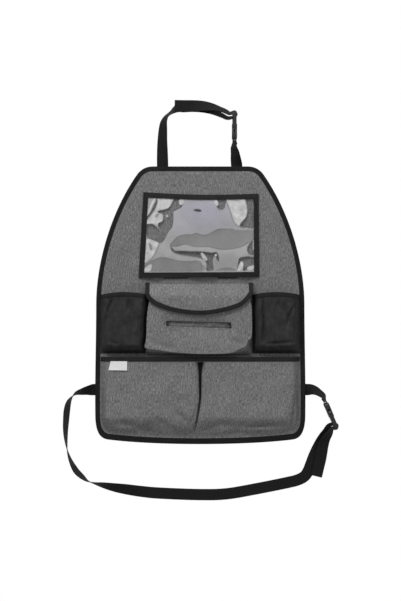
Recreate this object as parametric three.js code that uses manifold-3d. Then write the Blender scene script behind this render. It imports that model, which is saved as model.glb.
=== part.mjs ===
// A hanging organizer for the back of a car seat, in millimetres. +Z is up, +X is to the
// right seen from the front, and the front faces -Y. The origin is the centre of the flat back.
import * as THREE from "three";
import { mergeVertices } from "three/addons/utils/BufferGeometryUtils.js";
import Module from "manifold-3d";

const wasm = await Module();
wasm.setup();

// Panel outline
const panelTop = 305.2;
const panelBottom = -305.3;
const panelHalfWidth = 231.5;
const waistTaper = 2.5;
const waistHeight = 0;
const lowerCornerRun = 26.5;
const lowerCornerLift = 10.3;
const lowerCornerRise = 66.3;
const shoulderBulge = 95;
const shoulderLean = 56;
const shoulderFall = 81;
const topCornerHalf = 140;
const topCornerDrop = 19.2;
const topEdgeHalf = 104;

// Panel layers, from the back to the front
const liningThickness = 0.8;
const paddingThickness = 1.8;
const faceThickness = 0.9;
const rimTuck = 1.5;

// Tapes and seams
const bindingWidth = 10.5;
const bindingThickness = 1.2;
const bindingCorner = 0.9;
const tapeThickness = 1;
const seam = 4;
const gap = 0.3;
const clothThickness = 1.2;
const meshThickness = 1;

// Clear window: corners of the outer edge of its frame
const windowTopLeft = [-125, 248.5];
const windowTopRight = [128, 245.2];
const windowBottomLeft = [-135.5, 60.4];
const windowBottomRight = [129.6, 62.2];
const windowTopSag = 4;
const windowTapeWidth = 10.5;
const windowTapeThickness = 1.2;
const windowSlack = 7;
const filmThickness = 0.5;
const windowTapeGap = 1.1;

// Touch-fastener closures under the lower edge of the window frame
const fastenerThickness = 1.4;
const fastenerHeight = 13;
const fastenerShow = 2.6;
const leftFastener = [-81, -27];
const rightFastener = [39, 81];

// Tissue pocket
const tissueLeft = -121;
const tissueRight = 110;
const tissueTop = 14;
const tissueBottom = -104;
const tissueDepth = 30;
const tissueBelly = 5;
const tissueCorner = 14;
const slotLeft = -74.8;
const slotRight = 68.6;
const slotTop = -35.5;
const slotHeight = 14;
const slotCorner = 3;

// Flap over the tissue pocket
const flapTop = 53;
const flapLeft = -121.5;
const flapRight = 117;
const flapSideEnd = 9;
const flapDip = -20.5;
const flapCurve = 3;
const flapRun = 30;
const flapClearance = 3.4;
const flapBindingWidth = 10;

// Mesh pockets at the sides
const meshOuter = panelHalfWidth - bindingWidth - 4.5;
const meshClearance = 2;
const meshTop = 23;
const meshArch = 6;
const meshFold = -85;
const meshBottom = -106;
const meshMouthDepth = 30;
const meshBellyDepth = 38;
const meshSideRun = 14;
const meshBandWidth = 9;

// Lower pockets: one wide cloth stitched down the middle
const pocketHalfWidth = panelHalfWidth - bindingWidth - 2.4;
const pocketTop = -113;
const pocketFold = -258;
const pocketMouthDepth = 17;
const pocketBellyDepth = 28;
const pocketSideRun = 16;
const pocketMiddleRun = 12;
const pocketSplitTop = -149;
const pocketBandWidth = 10;
const labelLeft = -196;
const labelWidth = 36;
const labelHeight = 20;
const labelThickness = 0.6;

// Webbing and side-release buckles
const webbingWidth = 25;
const webbingThickness = 1.2;
const strapSewn = 22;
const strapBehind = 0.9;
const buckleWidth = 32;
const buckleThickness = 11;
const buckleEdge = 1.2;
const railWidth = 3;
const socketLength = 34;
const plugLength = 25;
const mouthHeight = 4.7;
const cavityDepth = 20.5;
const cavityHeight = 6.8;
const strapSlot = 6.2;
const barRadius = 2.2;
const socketBarInset = 2.8;
const plugBarLength = 6.4;
const plugBarThickness = 5;
const prongThickness = 5.4;
const prongWidth = 4;
const prongLength = 19;
const barbReach = 2.6;
const windowStart = 2;
const windowLength = 12;
const guideWidth = 4;

const cloth = () => new THREE.MeshStandardMaterial({ color: 0x747474, roughness: 0.95 });
const tape = () => new THREE.MeshStandardMaterial({ color: 0x202020, roughness: 0.85 });
const netting = () => new THREE.MeshStandardMaterial({ color: 0x2b2b2b, roughness: 0.9 });
const webbing = () => new THREE.MeshStandardMaterial({ color: 0x1c1c1c, roughness: 0.8 });
const moulding = () => new THREE.MeshStandardMaterial({ color: 0x191919, roughness: 0.45 });
const backing = () => new THREE.MeshStandardMaterial({ color: 0x262626, roughness: 0.95 });
const foam = () => new THREE.MeshStandardMaterial({ color: 0xd8d4c8, roughness: 1 });
const blank = () => new THREE.MeshStandardMaterial({ color: 0xe9e9e6, roughness: 0.7 });
const film = () =>
  new THREE.MeshStandardMaterial({
    color: 0xc4c4cc, roughness: 0.15, transparent: true, opacity: 0.5,
  });

const part = new THREE.Group();

function add(name, geometry, material, parent = part) {
  const mesh = new THREE.Mesh(geometry, material);
  mesh.name = name;
  parent.add(mesh);
  return mesh;
}

const v3 = (x, y, z) => new THREE.Vector3(x, y, z);
const v2 = (x, y) => new THREE.Vector2(x, y);
const mix = THREE.MathUtils.lerp;
const radians = THREE.MathUtils.degToRad;
const unit = (t) => THREE.MathUtils.clamp(t, 0, 1);
const rise = (t) => Math.sin((Math.PI / 2) * unit(t));
const span = (count) => Array.from({ length: count + 1 }, (_, i) => i / count);

// A closed surface with its faces turned outwards.
function closedGeometry(points, faces) {
  const volume = faces.reduce((sum, [a, b, c]) => {
    return sum + points[a].dot(points[b].clone().cross(points[c]));
  }, 0);
  const turned = volume < 0 ? faces.map(([a, b, c]) => [a, c, b]) : faces;
  const geometry = new THREE.BufferGeometry().setFromPoints(points);
  geometry.setIndex(turned.flat());
  geometry.computeVertexNormals();
  return geometry;
}

// Triangles over a flat outline, wound the way the outline runs.
function capFaces(outline) {
  const clockwise = THREE.ShapeUtils.isClockWise(outline);
  return THREE.ShapeUtils.triangulateShape(outline, []).map(([a, b, c]) => {
    const ab = outline[b].clone().sub(outline[a]);
    const ac = outline[c].clone().sub(outline[a]);
    return ab.cross(ac) > 0 === !clockwise ? [a, b, c] : [a, c, b];
  });
}

// Joins rings of equal length into a body: a loop if closed, otherwise capped at both ends.
// Each side is split along one diagonal, and the sides in `crossed` along the other.
function loft(rings, closed, outline, crossed = []) {
  const count = rings[0].length;
  const faces = [];
  const last = closed ? rings.length : rings.length - 1;
  for (let i = 0; i < last; i++) {
    const here = i * count;
    const next = ((i + 1) % rings.length) * count;
    for (let j = 0; j < count; j++) {
      const k = (j + 1) % count;
      if (crossed.includes(j)) faces.push([here + j, here + k, next + j], [here + k, next + k, next + j]);
      else faces.push([here + j, here + k, next + k], [here + j, next + k, next + j]);
    }
  }
  if (!closed) {
    const end = (rings.length - 1) * count;
    for (const [a, b, c] of capFaces(outline)) {
      faces.push([a, c, b], [end + a, end + b, end + c]);
    }
  }
  return closedGeometry(rings.flat(), faces);
}

// The direction of a line of points at one of them, halfway between its two sides.
function tangent(before, point, after) {
  const arriving = point.clone().sub(before).normalize();
  const leaving = after.clone().sub(point).normalize();
  return arriving.add(leaving).normalize();
}

const around = (list, i) => [list[Math.max(i - 1, 0)], list[i], list[Math.min(i + 1, list.length - 1)]];

// Unit normals of a grid of points, all on the side that faces -Y.
function gridNormals(grid) {
  const normals = grid.map((row, r) => row.map((_, c) => {
    const up = tangent(...around(grid, r).map((line) => line[c]));
    return tangent(...around(row, c)).cross(up).normalize();
  }));
  const facing = normals.flat().reduce((sum, n) => sum + n.y, 0);
  if (facing > 0) normals.flat().forEach((n) => n.negate());
  return normals;
}

// A sheet of even thickness behind a grid of points, never deeper than the plane it is sewn to.
function sheet(grid, thickness, deepest = Infinity) {
  const rows = grid.length;
  const columns = grid[0].length;
  const normals = gridNormals(grid);
  const outer = grid.flat();
  const inner = grid.flatMap((row, r) => row.map((p, c) => {
    const q = p.clone().addScaledVector(normals[r][c], -thickness);
    q.y = Math.min(q.y, deepest);
    return q;
  }));
  const faces = [];
  const quad = (a, b, c, d) => faces.push([a, b, c], [a, c, d]);
  const at = (r, c) => r * columns + c;
  const under = (r, c) => rows * columns + at(r, c);
  for (let r = 0; r + 1 < rows; r++) {
    for (let c = 0; c + 1 < columns; c++) {
      quad(at(r, c), at(r, c + 1), at(r + 1, c + 1), at(r + 1, c));
      quad(under(r, c), under(r + 1, c), under(r + 1, c + 1), under(r, c + 1));
    }
    quad(at(r, 0), at(r + 1, 0), under(r + 1, 0), under(r, 0));
    quad(at(r + 1, columns - 1), at(r, columns - 1), under(r, columns - 1), under(r + 1, columns - 1));
  }
  for (let c = 0; c + 1 < columns; c++) {
    quad(at(0, c + 1), at(0, c), under(0, c), under(0, c + 1));
    quad(at(rows - 1, c), at(rows - 1, c + 1), under(rows - 1, c + 1), under(rows - 1, c));
  }
  return closedGeometry([...outer, ...inner], faces);
}

function solidOf(geometry) {
  const bare = geometry.clone();
  bare.deleteAttribute("normal");
  bare.deleteAttribute("uv");
  const merged = mergeVertices(bare, 1e-4);
  return new wasm.Manifold(new wasm.Mesh({
    numProp: 3,
    vertProperties: new Float32Array(merged.attributes.position.array),
    triVerts: new Uint32Array(merged.index.array),
  }));
}

function geometryOf(solid) {
  const { vertProperties, triVerts } = solid.getMesh();
  const geometry = new THREE.BufferGeometry();
  geometry.setAttribute("position", new THREE.BufferAttribute(vertProperties, 3));
  geometry.setIndex(new THREE.BufferAttribute(triVerts, 1));
  geometry.computeVertexNormals();
  return geometry;
}

const joined = (...geometries) => geometries.map(solidOf).reduce((a, b) => a.add(b));
const cut = (solid, ...tools) => tools.map(solidOf).reduce((a, b) => a.subtract(b), solid);

function block(low, high) {
  const size = high.clone().sub(low);
  const middle = low.clone().add(high).multiplyScalar(0.5);
  return new THREE.BoxGeometry(size.x, size.y, size.z).translate(middle.x, middle.y, middle.z);
}

// Panel: outline, layers and binding
function panelOutline() {
  const cornerStart = v2(panelHalfWidth - lowerCornerRun, panelBottom + lowerCornerLift);
  const cornerEnd = v2(panelHalfWidth - 0.5, panelBottom + lowerCornerRise);
  const waist = v2(panelHalfWidth - waistTaper, waistHeight);
  const topCorner = v2(topCornerHalf, panelTop - topCornerDrop);
  const topEnd = v2(topEdgeHalf, panelTop);
  const curves = [
    [new THREE.CubicBezierCurve(v2(0, panelBottom), v2(cornerStart.x / 2.7, panelBottom),
      v2(cornerStart.x / 1.35, cornerStart.y - 7), cornerStart), 5],
    [new THREE.CubicBezierCurve(cornerStart, v2(cornerStart.x + 17, cornerStart.y + 3.5),
      v2(cornerEnd.x, cornerEnd.y - 37), cornerEnd), 6],
    [new THREE.CubicBezierCurve(cornerEnd, v2(panelHalfWidth + 0.5, mix(cornerEnd.y, waist.y, 0.3)),
      v2(waist.x, mix(cornerEnd.y, waist.y, 0.7)), waist), 3],
    [new THREE.CubicBezierCurve(waist, v2(waist.x, waist.y + shoulderBulge),
      v2(topCorner.x + shoulderLean, topCorner.y - shoulderFall), topCorner), 9],
    [new THREE.QuadraticBezierCurve(topCorner,
      v2(topCorner.x - 13.3, panelTop), topEnd), 4],
  ];
  const half = curves.flatMap(([curve, steps]) => curve.getPoints(steps).slice(0, -1));
  const right = [...half, topEnd];
  const left = right.slice(1).reverse().map((p) => v2(-p.x, p.y));
  return [...right, ...left];
}

// The outline moved inwards by a distance, with as many points.
function inset(outline, distance) {
  return outline.map((p, i) => {
    const before = outline[(i + outline.length - 1) % outline.length];
    const after = outline[(i + 1) % outline.length];
    const arriving = p.clone().sub(before).normalize();
    const leaving = after.clone().sub(p).normalize();
    const along = arriving.clone().add(leaving).normalize();
    const inwards = v2(-along.y, along.x);
    return p.clone().addScaledVector(inwards, distance / along.dot(arriving));
  });
}

const outline = panelOutline();
const panelThickness = liningThickness + paddingThickness + faceThickness;
const panelFront = -panelThickness;
const rimBack = -bindingThickness;
const rimMiddle = rimBack - liningThickness;
const rimFront = rimMiddle - faceThickness;
const bindingFront = rimFront - bindingThickness;
const flatInset = bindingWidth + 1.8;
const rimInset = bindingWidth + 0.6;

const ringAt = (points, y) => points.map((p) => v3(p.x, y, p.y));

// A cloth layer, flat inside the binding and pressed down to the rim under it.
function clothLayer(back, front, backRim, frontRim) {
  const centre = outline.map((p) => p.clone().multiplyScalar(0.5));
  const flat = inset(outline, flatInset);
  const rim = inset(outline, rimInset);
  const edge = inset(outline, rimTuck);
  const rings = [
    ringAt(centre, back), ringAt(flat, back), ringAt(rim, backRim), ringAt(edge, backRim),
    ringAt(edge, frontRim), ringAt(rim, frontRim), ringAt(flat, front), ringAt(centre, front),
  ];
  return loft(rings, false, outline);
}

function panelBinding() {
  const section = [
    [bindingWidth, 0], [bindingCorner, 0], [0, -bindingCorner],
    [0, bindingFront + bindingCorner], [bindingCorner, bindingFront], [bindingWidth, bindingFront],
    [bindingWidth, rimFront], [bindingThickness, rimFront],
    [bindingThickness, rimBack], [bindingWidth, rimBack],
  ];
  const loops = section.map(([distance, y]) => ringAt(inset(outline, distance), y));
  return loft(outline.map((_, i) => loops.map((loop) => loop[i])), true);
}

add("panel_lining", clothLayer(0, -liningThickness, rimBack, rimMiddle), backing());
add("panel_padding", loft([
  ringAt(inset(outline, flatInset + gap), -liningThickness),
  ringAt(inset(outline, flatInset + gap), faceThickness + panelFront),
], false, outline), foam());
add("panel_face", clothLayer(panelFront + faceThickness, panelFront, rimMiddle, rimFront), cloth());
add("panel_binding", panelBinding(), tape());

// Lowest height of the space inside the binding at a distance from the middle.
function bindingInnerBottom(x) {
  const inner = inset(outline, bindingWidth + gap).filter((p) => p.x >= 0 && p.y < waistHeight);
  const after = inner.findIndex((p) => p.x >= Math.abs(x));
  if (after < 1) return inner[Math.max(after, 0)].y;
  const [a, b] = [inner[after - 1], inner[after]];
  return mix(a.y, b.y, (Math.abs(x) - a.x) / (b.x - a.x));
}

// Window: a film under a sewn frame, with a loose lower edge
function windowPoint(u, v) {
  const low = v2(...windowBottomLeft).lerp(v2(...windowBottomRight), u);
  const high = v2(...windowTopLeft).lerp(v2(...windowTopRight), u);
  high.y -= windowTopSag * Math.sin(Math.PI * u);
  return low.lerp(high, v);
}

const windowWidth = windowBottomRight[0] - windowBottomLeft[0];
const windowHeight = windowTopLeft[1] - windowBottomLeft[1];
const fastenerStack = 2 * fastenerThickness + gap;

// How far the film's back stands off the panel: pinched at the two fasteners.
function windowStandOff(u, v) {
  const x = windowPoint(u, v).x;
  const bulge = windowSlack * (1 - (2 * u - 1) ** 6) * (1 - v ** 5);
  const nearness = Math.max(...[leftFastener, rightFastener].map(([low, high]) => {
    const outside = Math.max(low - x, x - high, 0);
    return unit(1 - outside / 16) * unit(1 - (v * windowHeight - fastenerHeight) / 45);
  }));
  const eased = nearness * nearness * (3 - 2 * nearness);
  return mix(bulge, Math.min(bulge, fastenerStack), eased);
}

function windowSurface(u, v, height) {
  const p = windowPoint(u, v);
  return v3(p.x, panelFront - windowStandOff(u, v) - height, p.y);
}

function windowStops() {
  const stops = [0, 0.04, 0.1];
  const marks = [leftFastener, rightFastener].flatMap(([low, high]) => [low - 16, low - 8, low, high,
    high + 8, high + 16]);
  stops.push(...marks.map((x) => (x - windowBottomLeft[0]) / windowWidth));
  stops.push(0.92, 0.97, 1);
  return stops;
}

function windowFilm() {
  const border = 1.2 / windowWidth;
  const rows = [0, 0.07, 0.16, 0.25, 0.34, 0.5, 0.66, 0.8, 0.9, 0.96, 1];
  return sheet(rows.map((v) => windowStops().map((u) => {
    return windowSurface(mix(border, 1 - border, u), mix(border, 1 - border, v), filmThickness);
  })), filmThickness, panelFront);
}

function windowFrame() {
  const across = windowStops();
  const upright = [0, 0.07, 0.16, 0.25, 0.34, 0.5, 0.66, 0.8, 0.9, 0.96, 1];
  const circuit = [
    ...across.slice(0, -1).map((u) => [u, 0]),
    ...upright.slice(0, -1).map((v) => [1, v]),
    ...across.slice(1).reverse().map((u) => [u, 1]),
    ...upright.slice(1).reverse().map((v) => [0, v]),
  ];
  const insideU = windowTapeWidth / windowWidth;
  const insideV = windowTapeWidth / windowHeight;
  const low = filmThickness + windowTapeGap;
  const high = low + windowTapeThickness;
  return loft(circuit.map(([u, v]) => {
    const iu = mix(insideU, 1 - insideU, u);
    const iv = mix(insideV, 1 - insideV, v);
    return [windowSurface(u, v, low), windowSurface(u, v, high),
      windowSurface(iu, iv, high), windowSurface(iu, iv, low)];
  }), true);
}

function fastenerStrip([low, high], level) {
  const bottom = windowPoint(0.5, 0).y - fastenerShow;
  return block(v3(low, panelFront - level - fastenerThickness, bottom),
    v3(high, panelFront - level, bottom + fastenerHeight));
}

add("window_film", windowFilm(), film());
add("window_frame", windowFrame(), tape());
add("window_hook_left", fastenerStrip(leftFastener, 0), tape());
add("window_loop_left", fastenerStrip(leftFastener, fastenerThickness), tape());
add("window_hook_right", fastenerStrip(rightFastener, 0), tape());
add("window_loop_right", fastenerStrip(rightFastener, fastenerThickness), tape());

// A tape folded over a cloth edge: the cloth lies behind the points, inside the fold.
function edgeTape(frames, sheetThickness, width) {
  const fold = gap + tapeThickness;
  const back = -sheetThickness - fold;
  const end = fold - width;
  const section = [
    v2(fold, end), v2(fold, fold), v2(back, fold), v2(back, end),
    v2(back + tapeThickness, end), v2(back + tapeThickness, gap), v2(gap, gap), v2(gap, end),
  ];
  const points = frames.map((frame) => frame.point);
  const rings = frames.map(({ point, normal, out }, i) => {
    const along = tangent(...around(points, i));
    const next = i ? point.clone().sub(points[i - 1]) : points[1].clone().sub(point);
    const flat = next.addScaledVector(normal, -next.dot(normal)).normalize();
    const spread = out.z === 1 ? 1 : 1 / Math.max(along.dot(flat), 0.5);
    return section.map((s) => point.clone()
      .addScaledVector(normal, s.x)
      .addScaledVector(out, s.y * spread));
  });
  return loft(rings, false, section);
}

// Frames along the top edge of a pocket, which runs from left to right.
function topEdgeFrames(points) {
  return points.map((point, i) => {
    const out = v3(0, 0, 1);
    return { point, normal: tangent(...around(points, i)).cross(out).normalize(), out };
  });
}

const sideSteps = [0, 0.18, 0.4, 0.68, 1];
const bandLift = 2 * gap + tapeThickness;

// Stops from one sewn side to the other, close together where the cloth curves away.
function pocketColumns(left, right, run, middle) {
  const nearLeft = sideSteps.map((t) => left + seam + run * t);
  const nearRight = sideSteps.map((t) => right - seam - run * t).reverse();
  return [left, ...nearLeft, ...middle, ...nearRight, right];
}

// A pocket cloth sewn flat to the panel at its sides and bottom, with a taped top edge.
function pocketGrid(columns, pocket) {
  return Array.from({ length: 11 }, (_, row) => columns.map((x) => {
    const bottom = pocket.bottom(x);
    const top = pocket.top(x) - gap - tapeThickness;
    const tapeEnd = pocket.top(x) - pocket.band;
    const fold = Math.max(pocket.fold, bottom + seam + 2);
    const heights = [
      bottom, bottom + seam,
      ...sideSteps.slice(1).map((t) => mix(bottom + seam, fold, t)),
      mix(fold, tapeEnd, 0.33), mix(fold, tapeEnd, 0.67), tapeEnd - 1.5, tapeEnd, top,
    ];
    const z = heights[row];
    const level = Math.min(z, tapeEnd);
    const side = rise((x - pocket.left - seam) / pocket.run) *
      rise((pocket.right - seam - x) / pocket.run);
    const low = rise((level - bottom - seam) / (fold - bottom - seam));
    const share = unit((level - fold) / (tapeEnd - fold));
    const depth = mix(pocket.belly, pocket.mouth, share) * side * low * pocket.open(x, level);
    const lift = bandLift * unit(1 - (tapeEnd - level) / (2 * pocket.band));
    return v3(x, panelFront - pocket.thickness - Math.max(depth, lift), z);
  }));
}

function topBand(grid, pocket) {
  return edgeTape(topEdgeFrames(grid[grid.length - 1]), pocket.thickness, pocket.band);
}

// Mesh pockets
function meshPocket(left, right) {
  const middle = (left + right) / 2;
  const half = (right - left) / 2;
  return {
    left, right, run: meshSideRun, fold: meshFold, band: meshBandWidth,
    mouth: meshMouthDepth, belly: meshBellyDepth, thickness: meshThickness,
    top: (x) => meshTop + meshArch * (1 - ((x - middle) / half) ** 2),
    bottom: () => meshBottom,
    open: () => 1,
  };
}

for (const [side, left, right] of [
  ["left", -meshOuter, tissueLeft - meshClearance], ["right", tissueRight + meshClearance, meshOuter],
]) {
  const pocket = meshPocket(left, right);
  const inner = span(4).slice(1, -1).map((t) => mix(left + seam + meshSideRun, right - seam - meshSideRun, t));
  const grid = pocketGrid(pocketColumns(left, right, meshSideRun, inner), pocket);
  add("mesh_pocket_" + side, sheet(grid, meshThickness, panelFront), netting());
  add("mesh_pocket_" + side + "_band", topBand(grid, pocket), tape());
}

// Lower pockets
const lowerPocket = {
  left: -pocketHalfWidth, right: pocketHalfWidth, run: pocketSideRun, fold: pocketFold,
  band: pocketBandWidth, mouth: pocketMouthDepth, belly: pocketBellyDepth, thickness: clothThickness,
  top: () => pocketTop,
  bottom: bindingInnerBottom,
  open: (x, z) => {
    const apart = unit((z - pocketSplitTop) / (pocketTop - pocketBandWidth - pocketSplitTop));
    return mix(rise((Math.abs(x) - 1) / pocketMiddleRun), 1, apart);
  },
};

const lowerSide = pocketHalfWidth - seam - pocketSideRun;
const lowerHalf = [...sideSteps.map((t) => 1 + pocketMiddleRun * t),
  mix(pocketMiddleRun, lowerSide, 0.35), mix(pocketMiddleRun, lowerSide, 0.7)];
const lowerColumns = pocketColumns(-pocketHalfWidth, pocketHalfWidth, pocketSideRun,
  [...lowerHalf.map((x) => -x).reverse(), ...lowerHalf]);
const lowerGrid = pocketGrid(lowerColumns, lowerPocket);
add("lower_pocket_cloth", sheet(lowerGrid, clothThickness, panelFront), cloth());
add("lower_pocket_band", topBand(lowerGrid, lowerPocket), tape());

function lowerPocketFront(x, z) {
  const tapeEnd = pocketTop - pocketBandWidth;
  const share = unit((z - pocketFold) / (tapeEnd - pocketFold));
  return panelFront - clothThickness - mix(pocketBellyDepth, pocketMouthDepth, share);
}

const labelTop = pocketTop - pocketBandWidth - 1;
add("side_label", sheet([0, 0.5, 1].map((v) => [0, 1].map((u) => {
  const [x, z] = [labelLeft + labelWidth * u, labelTop - labelHeight * (1 - v)];
  return v3(x, lowerPocketFront(x, z) - gap - labelThickness, z);
})), labelThickness), blank());

// Tissue pocket: a bellied front with a slot, on a strip that runs down, under and up
function tissueEdge(steps) {
  const r = tissueCorner;
  const points = [v2(tissueLeft, tissueTop)];
  const corner = (cx, cz, start) => span(steps).forEach((t) => {
    const angle = start + (Math.PI / 2) * t;
    points.push(v2(cx + r * Math.cos(angle), cz + r * Math.sin(angle)));
  });
  corner(tissueLeft + r, tissueBottom + r, Math.PI);
  corner(tissueRight - r, tissueBottom + r, -Math.PI / 2);
  points.push(v2(tissueRight, tissueTop));
  return points;
}

function tissueStrip() {
  const edge = tissueEdge(4);
  const rings = edge.map((p, i) => {
    const along = tangent(...around(edge, i));
    const inner = p.clone().addScaledVector(v2(-along.y, along.x), clothThickness);
    const front = panelFront - tissueDepth;
    return [v3(p.x, panelFront, p.y), v3(p.x, front, p.y),
      v3(inner.x, front, inner.y), v3(inner.x, panelFront, inner.y)];
  });
  return loft(rings, false, [v2(0, 0), v2(1, 0), v2(1, 1), v2(0, 1)]);
}

const tissueMiddle = (tissueLeft + tissueRight) / 2;
const tissueFront = panelFront - tissueDepth - clothThickness;

function tissueBulge(x, z) {
  const u = (x - tissueLeft) / (tissueRight - tissueLeft);
  const v = (z - tissueBottom) / (tissueTop - tissueBottom);
  return tissueBelly * Math.sin(Math.PI * unit(u)) * Math.sin(Math.PI * unit(v));
}

function tissueFrontCloth() {
  const stops = [0, 0.05, 0.15, 0.28, 0.42, 0.58, 0.72, 0.85, 0.95, 1];
  const grid = [0, 0.06, 0.2, 0.4, 0.6, 0.8, 0.94, 1].map((v) => stops.map((u) => {
    const z = mix(tissueBottom, tissueTop, v);
    const down = unit((tissueBottom + tissueCorner - z) / tissueCorner);
    const pull = tissueCorner * (1 - Math.sqrt(1 - down * down)) * 0.9;
    const x = mix(tissueLeft + pull, tissueRight - pull, u);
    return v3(x, tissueFront - tissueBulge(x, z), z);
  }));
  const shape = new THREE.Shape();
  const [right, top, bottom] = [slotRight, slotTop, slotTop - slotHeight];
  shape.moveTo(slotLeft + slotCorner, bottom);
  shape.lineTo(right - slotCorner, bottom);
  shape.absarc(right - slotCorner, bottom + slotCorner, slotCorner, -Math.PI / 2, 0);
  shape.absarc(right - slotCorner, top - slotCorner, slotCorner, 0, Math.PI / 2);
  shape.absarc(slotLeft + slotCorner, top - slotCorner, slotCorner, Math.PI / 2, Math.PI);
  shape.absarc(slotLeft + slotCorner, bottom + slotCorner, slotCorner, Math.PI, Math.PI * 1.5);
  const slot = new THREE.ExtrudeGeometry(shape, {
    depth: 4 * tissueBelly + tissueDepth, bevelEnabled: false, curveSegments: 3,
  });
  slot.rotateX(Math.PI / 2).translate(0, panelFront - tissueDepth / 2, 0);
  return geometryOf(cut(solidOf(sheet(grid, clothThickness)), slot));
}

add("tissue_pocket_strip", tissueStrip(), cloth());
add("tissue_pocket_front", tissueFrontCloth(), cloth());

// Flap: sewn to the panel, out over the mouth and down the front
const flapReach = tissueDepth + tissueBelly + 2 * clothThickness + flapClearance;

function flapPoint(u, v) {
  const fold = tapeThickness + gap;
  const x = mix(flapLeft + fold, flapRight - fold, u);
  const across = Math.abs(2 * u - 1) ** flapCurve;
  const end = mix(flapDip, flapSideEnd, across) + fold;
  const bent = flapTop - flapRun;
  const z = v < 0 ? flapTop + seam : v < 1 ? mix(flapTop, bent, v) : mix(bent, end, v - 1);
  const reach = flapReach * rise((flapTop - z) / flapRun);
  return v3(x, panelFront - clothThickness - bandLift - reach, z);
}

const flapRows = [-1, 0, 0.15, 0.3, 0.46, 0.64, 0.82, 1, 1.45, 2];
const flapColumns = [0, 0.035, 0.09, 0.16, 0.28, 0.42, 0.58, 0.72, 0.84, 0.91, 0.965, 1];
const flapGrid = flapRows.map((v) => flapColumns.map((u) => flapPoint(u, v)));

function flapFrames() {
  const normals = gridNormals(flapGrid);
  const lastRow = flapRows.length - 1;
  const lastColumn = flapColumns.length - 1;
  const places = [
    ...flapRows.slice(0, -1).map((_, r) => [r, lastColumn]),
    ...flapColumns.map((_, c) => [lastRow, lastColumn - c]),
    ...flapRows.slice(0, -1).map((_, r) => [lastRow - 1 - r, 0]),
  ];
  const points = places.map(([r, c]) => flapGrid[r][c]);
  return places.map(([r, c], i) => {
    const out = normals[r][c].clone().cross(tangent(...around(points, i))).normalize();
    return { point: points[i], normal: normals[r][c], out };
  });
}

add("tissue_flap", sheet(flapGrid, clothThickness, panelFront), cloth());
add("tissue_flap_binding", edgeTape(flapFrames(), clothThickness, flapBindingWidth), tape());

// Webbing: a flat strip along a route of [x, y, z, twist], where twist turns its width from
// the picture plane (0) to straight back (90)
function strip(route, steps = 2) {
  const places = new THREE.CatmullRomCurve3(route.map(([x, y, z]) => v3(x, y, z)), false, "catmullrom");
  const twists = new THREE.CatmullRomCurve3(route.map((r) => v3(r[3], 0, 0)), false, "catmullrom");
  const count = (route.length - 1) * steps;
  const rings = span(count).map((t) => {
    const centre = places.getPoint(t);
    const along = places.getTangent(t);
    const twist = radians(twists.getPoint(t).x);
    const across = v3(-along.z, 0, along.x).normalize().multiplyScalar(Math.cos(twist));
    across.y = Math.sin(twist);
    across.addScaledVector(along, -along.dot(across)).normalize();
    const normal = along.clone().cross(across).normalize();
    return [[1, 1], [-1, 1], [-1, -1], [1, -1]].map(([w, n]) => centre.clone()
      .addScaledVector(across, (w * webbingWidth) / 2)
      .addScaledVector(normal, (n * webbingThickness) / 2));
  });
  // Its two faces are split alike, so they stay a thickness apart where the webbing twists.
  return loft(rings, false, [v2(0, 0), v2(1, 0), v2(1, 1), v2(0, 1)], [2]);
}

// Buckle halves: X is the thickness, Y the width, and Z runs from the socket to the adjuster
function plate(points, thickness, edge) {
  const shape = new THREE.Shape(points);
  const body = new THREE.ExtrudeGeometry(shape, {
    depth: thickness - 2 * edge, bevelEnabled: edge > 0, bevelSize: edge,
    bevelThickness: edge, bevelOffset: -edge, bevelSegments: 1, curveSegments: 4,
  });
  body.translate(0, 0, edge - thickness / 2);
  // The shape's own plane becomes Y and Z, and its depth becomes X.
  const turn = new THREE.Matrix4().makeBasis(v3(0, 1, 0), v3(0, 0, 1), v3(1, 0, 0));
  return body.applyMatrix4(turn);
}

const halfWidth = buckleWidth / 2;
const slotHalf = halfWidth - railWidth;
const socketEnd = mouthHeight - socketLength;
const socketBar = socketEnd + socketBarInset;
const socketSlotTop = socketBar + barRadius + strapSlot;
const plugStart = mouthHeight + gap;
const plugEnd = plugStart + plugLength;
const plugBarStart = plugEnd - plugBarLength;
const wrapMiddle = plugEnd - plugBarLength / 2;
const wrapRadius = Math.hypot(plugBarLength, plugBarThickness) / 2 + webbingThickness / 2 + gap + 0.3;
const beyond = buckleThickness;

function socketGeometry() {
  const corner = 5;
  const waist = 1.4;
  const body = plate([
    v2(-halfWidth, mouthHeight), v2(-halfWidth, mouthHeight - 7), v2(-halfWidth + waist, mouthHeight - 13),
    v2(-halfWidth, mouthHeight - 21), v2(-halfWidth, socketEnd + corner),
    v2(-halfWidth + corner / 3, socketEnd + corner / 3), v2(-halfWidth + corner, socketEnd),
    v2(halfWidth - corner, socketEnd), v2(halfWidth - corner / 3, socketEnd + corner / 3),
    v2(halfWidth, socketEnd + corner), v2(halfWidth, mouthHeight - 21),
    v2(halfWidth - waist, mouthHeight - 13), v2(halfWidth, mouthHeight - 7), v2(halfWidth, mouthHeight),
  ], buckleThickness, buckleEdge);
  const cavity = block(v3(-cavityHeight / 2, -slotHalf, mouthHeight - cavityDepth),
    v3(cavityHeight / 2, slotHalf, mouthHeight + beyond));
  const windows = block(v3(-cavityHeight / 2, -buckleWidth, mouthHeight - windowStart - 5 - windowLength),
    v3(cavityHeight / 2, buckleWidth, mouthHeight - windowStart - 5));
  const strapRoom = block(v3(-beyond, -slotHalf, socketEnd - beyond), v3(beyond, slotHalf, socketSlotTop));
  const bar = new THREE.CylinderGeometry(barRadius, barRadius, 2 * slotHalf + railWidth, 12)
    .translate(0, 0, socketBar);
  return geometryOf(cut(solidOf(body), cavity, windows, strapRoom).add(solidOf(bar)));
}

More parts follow.
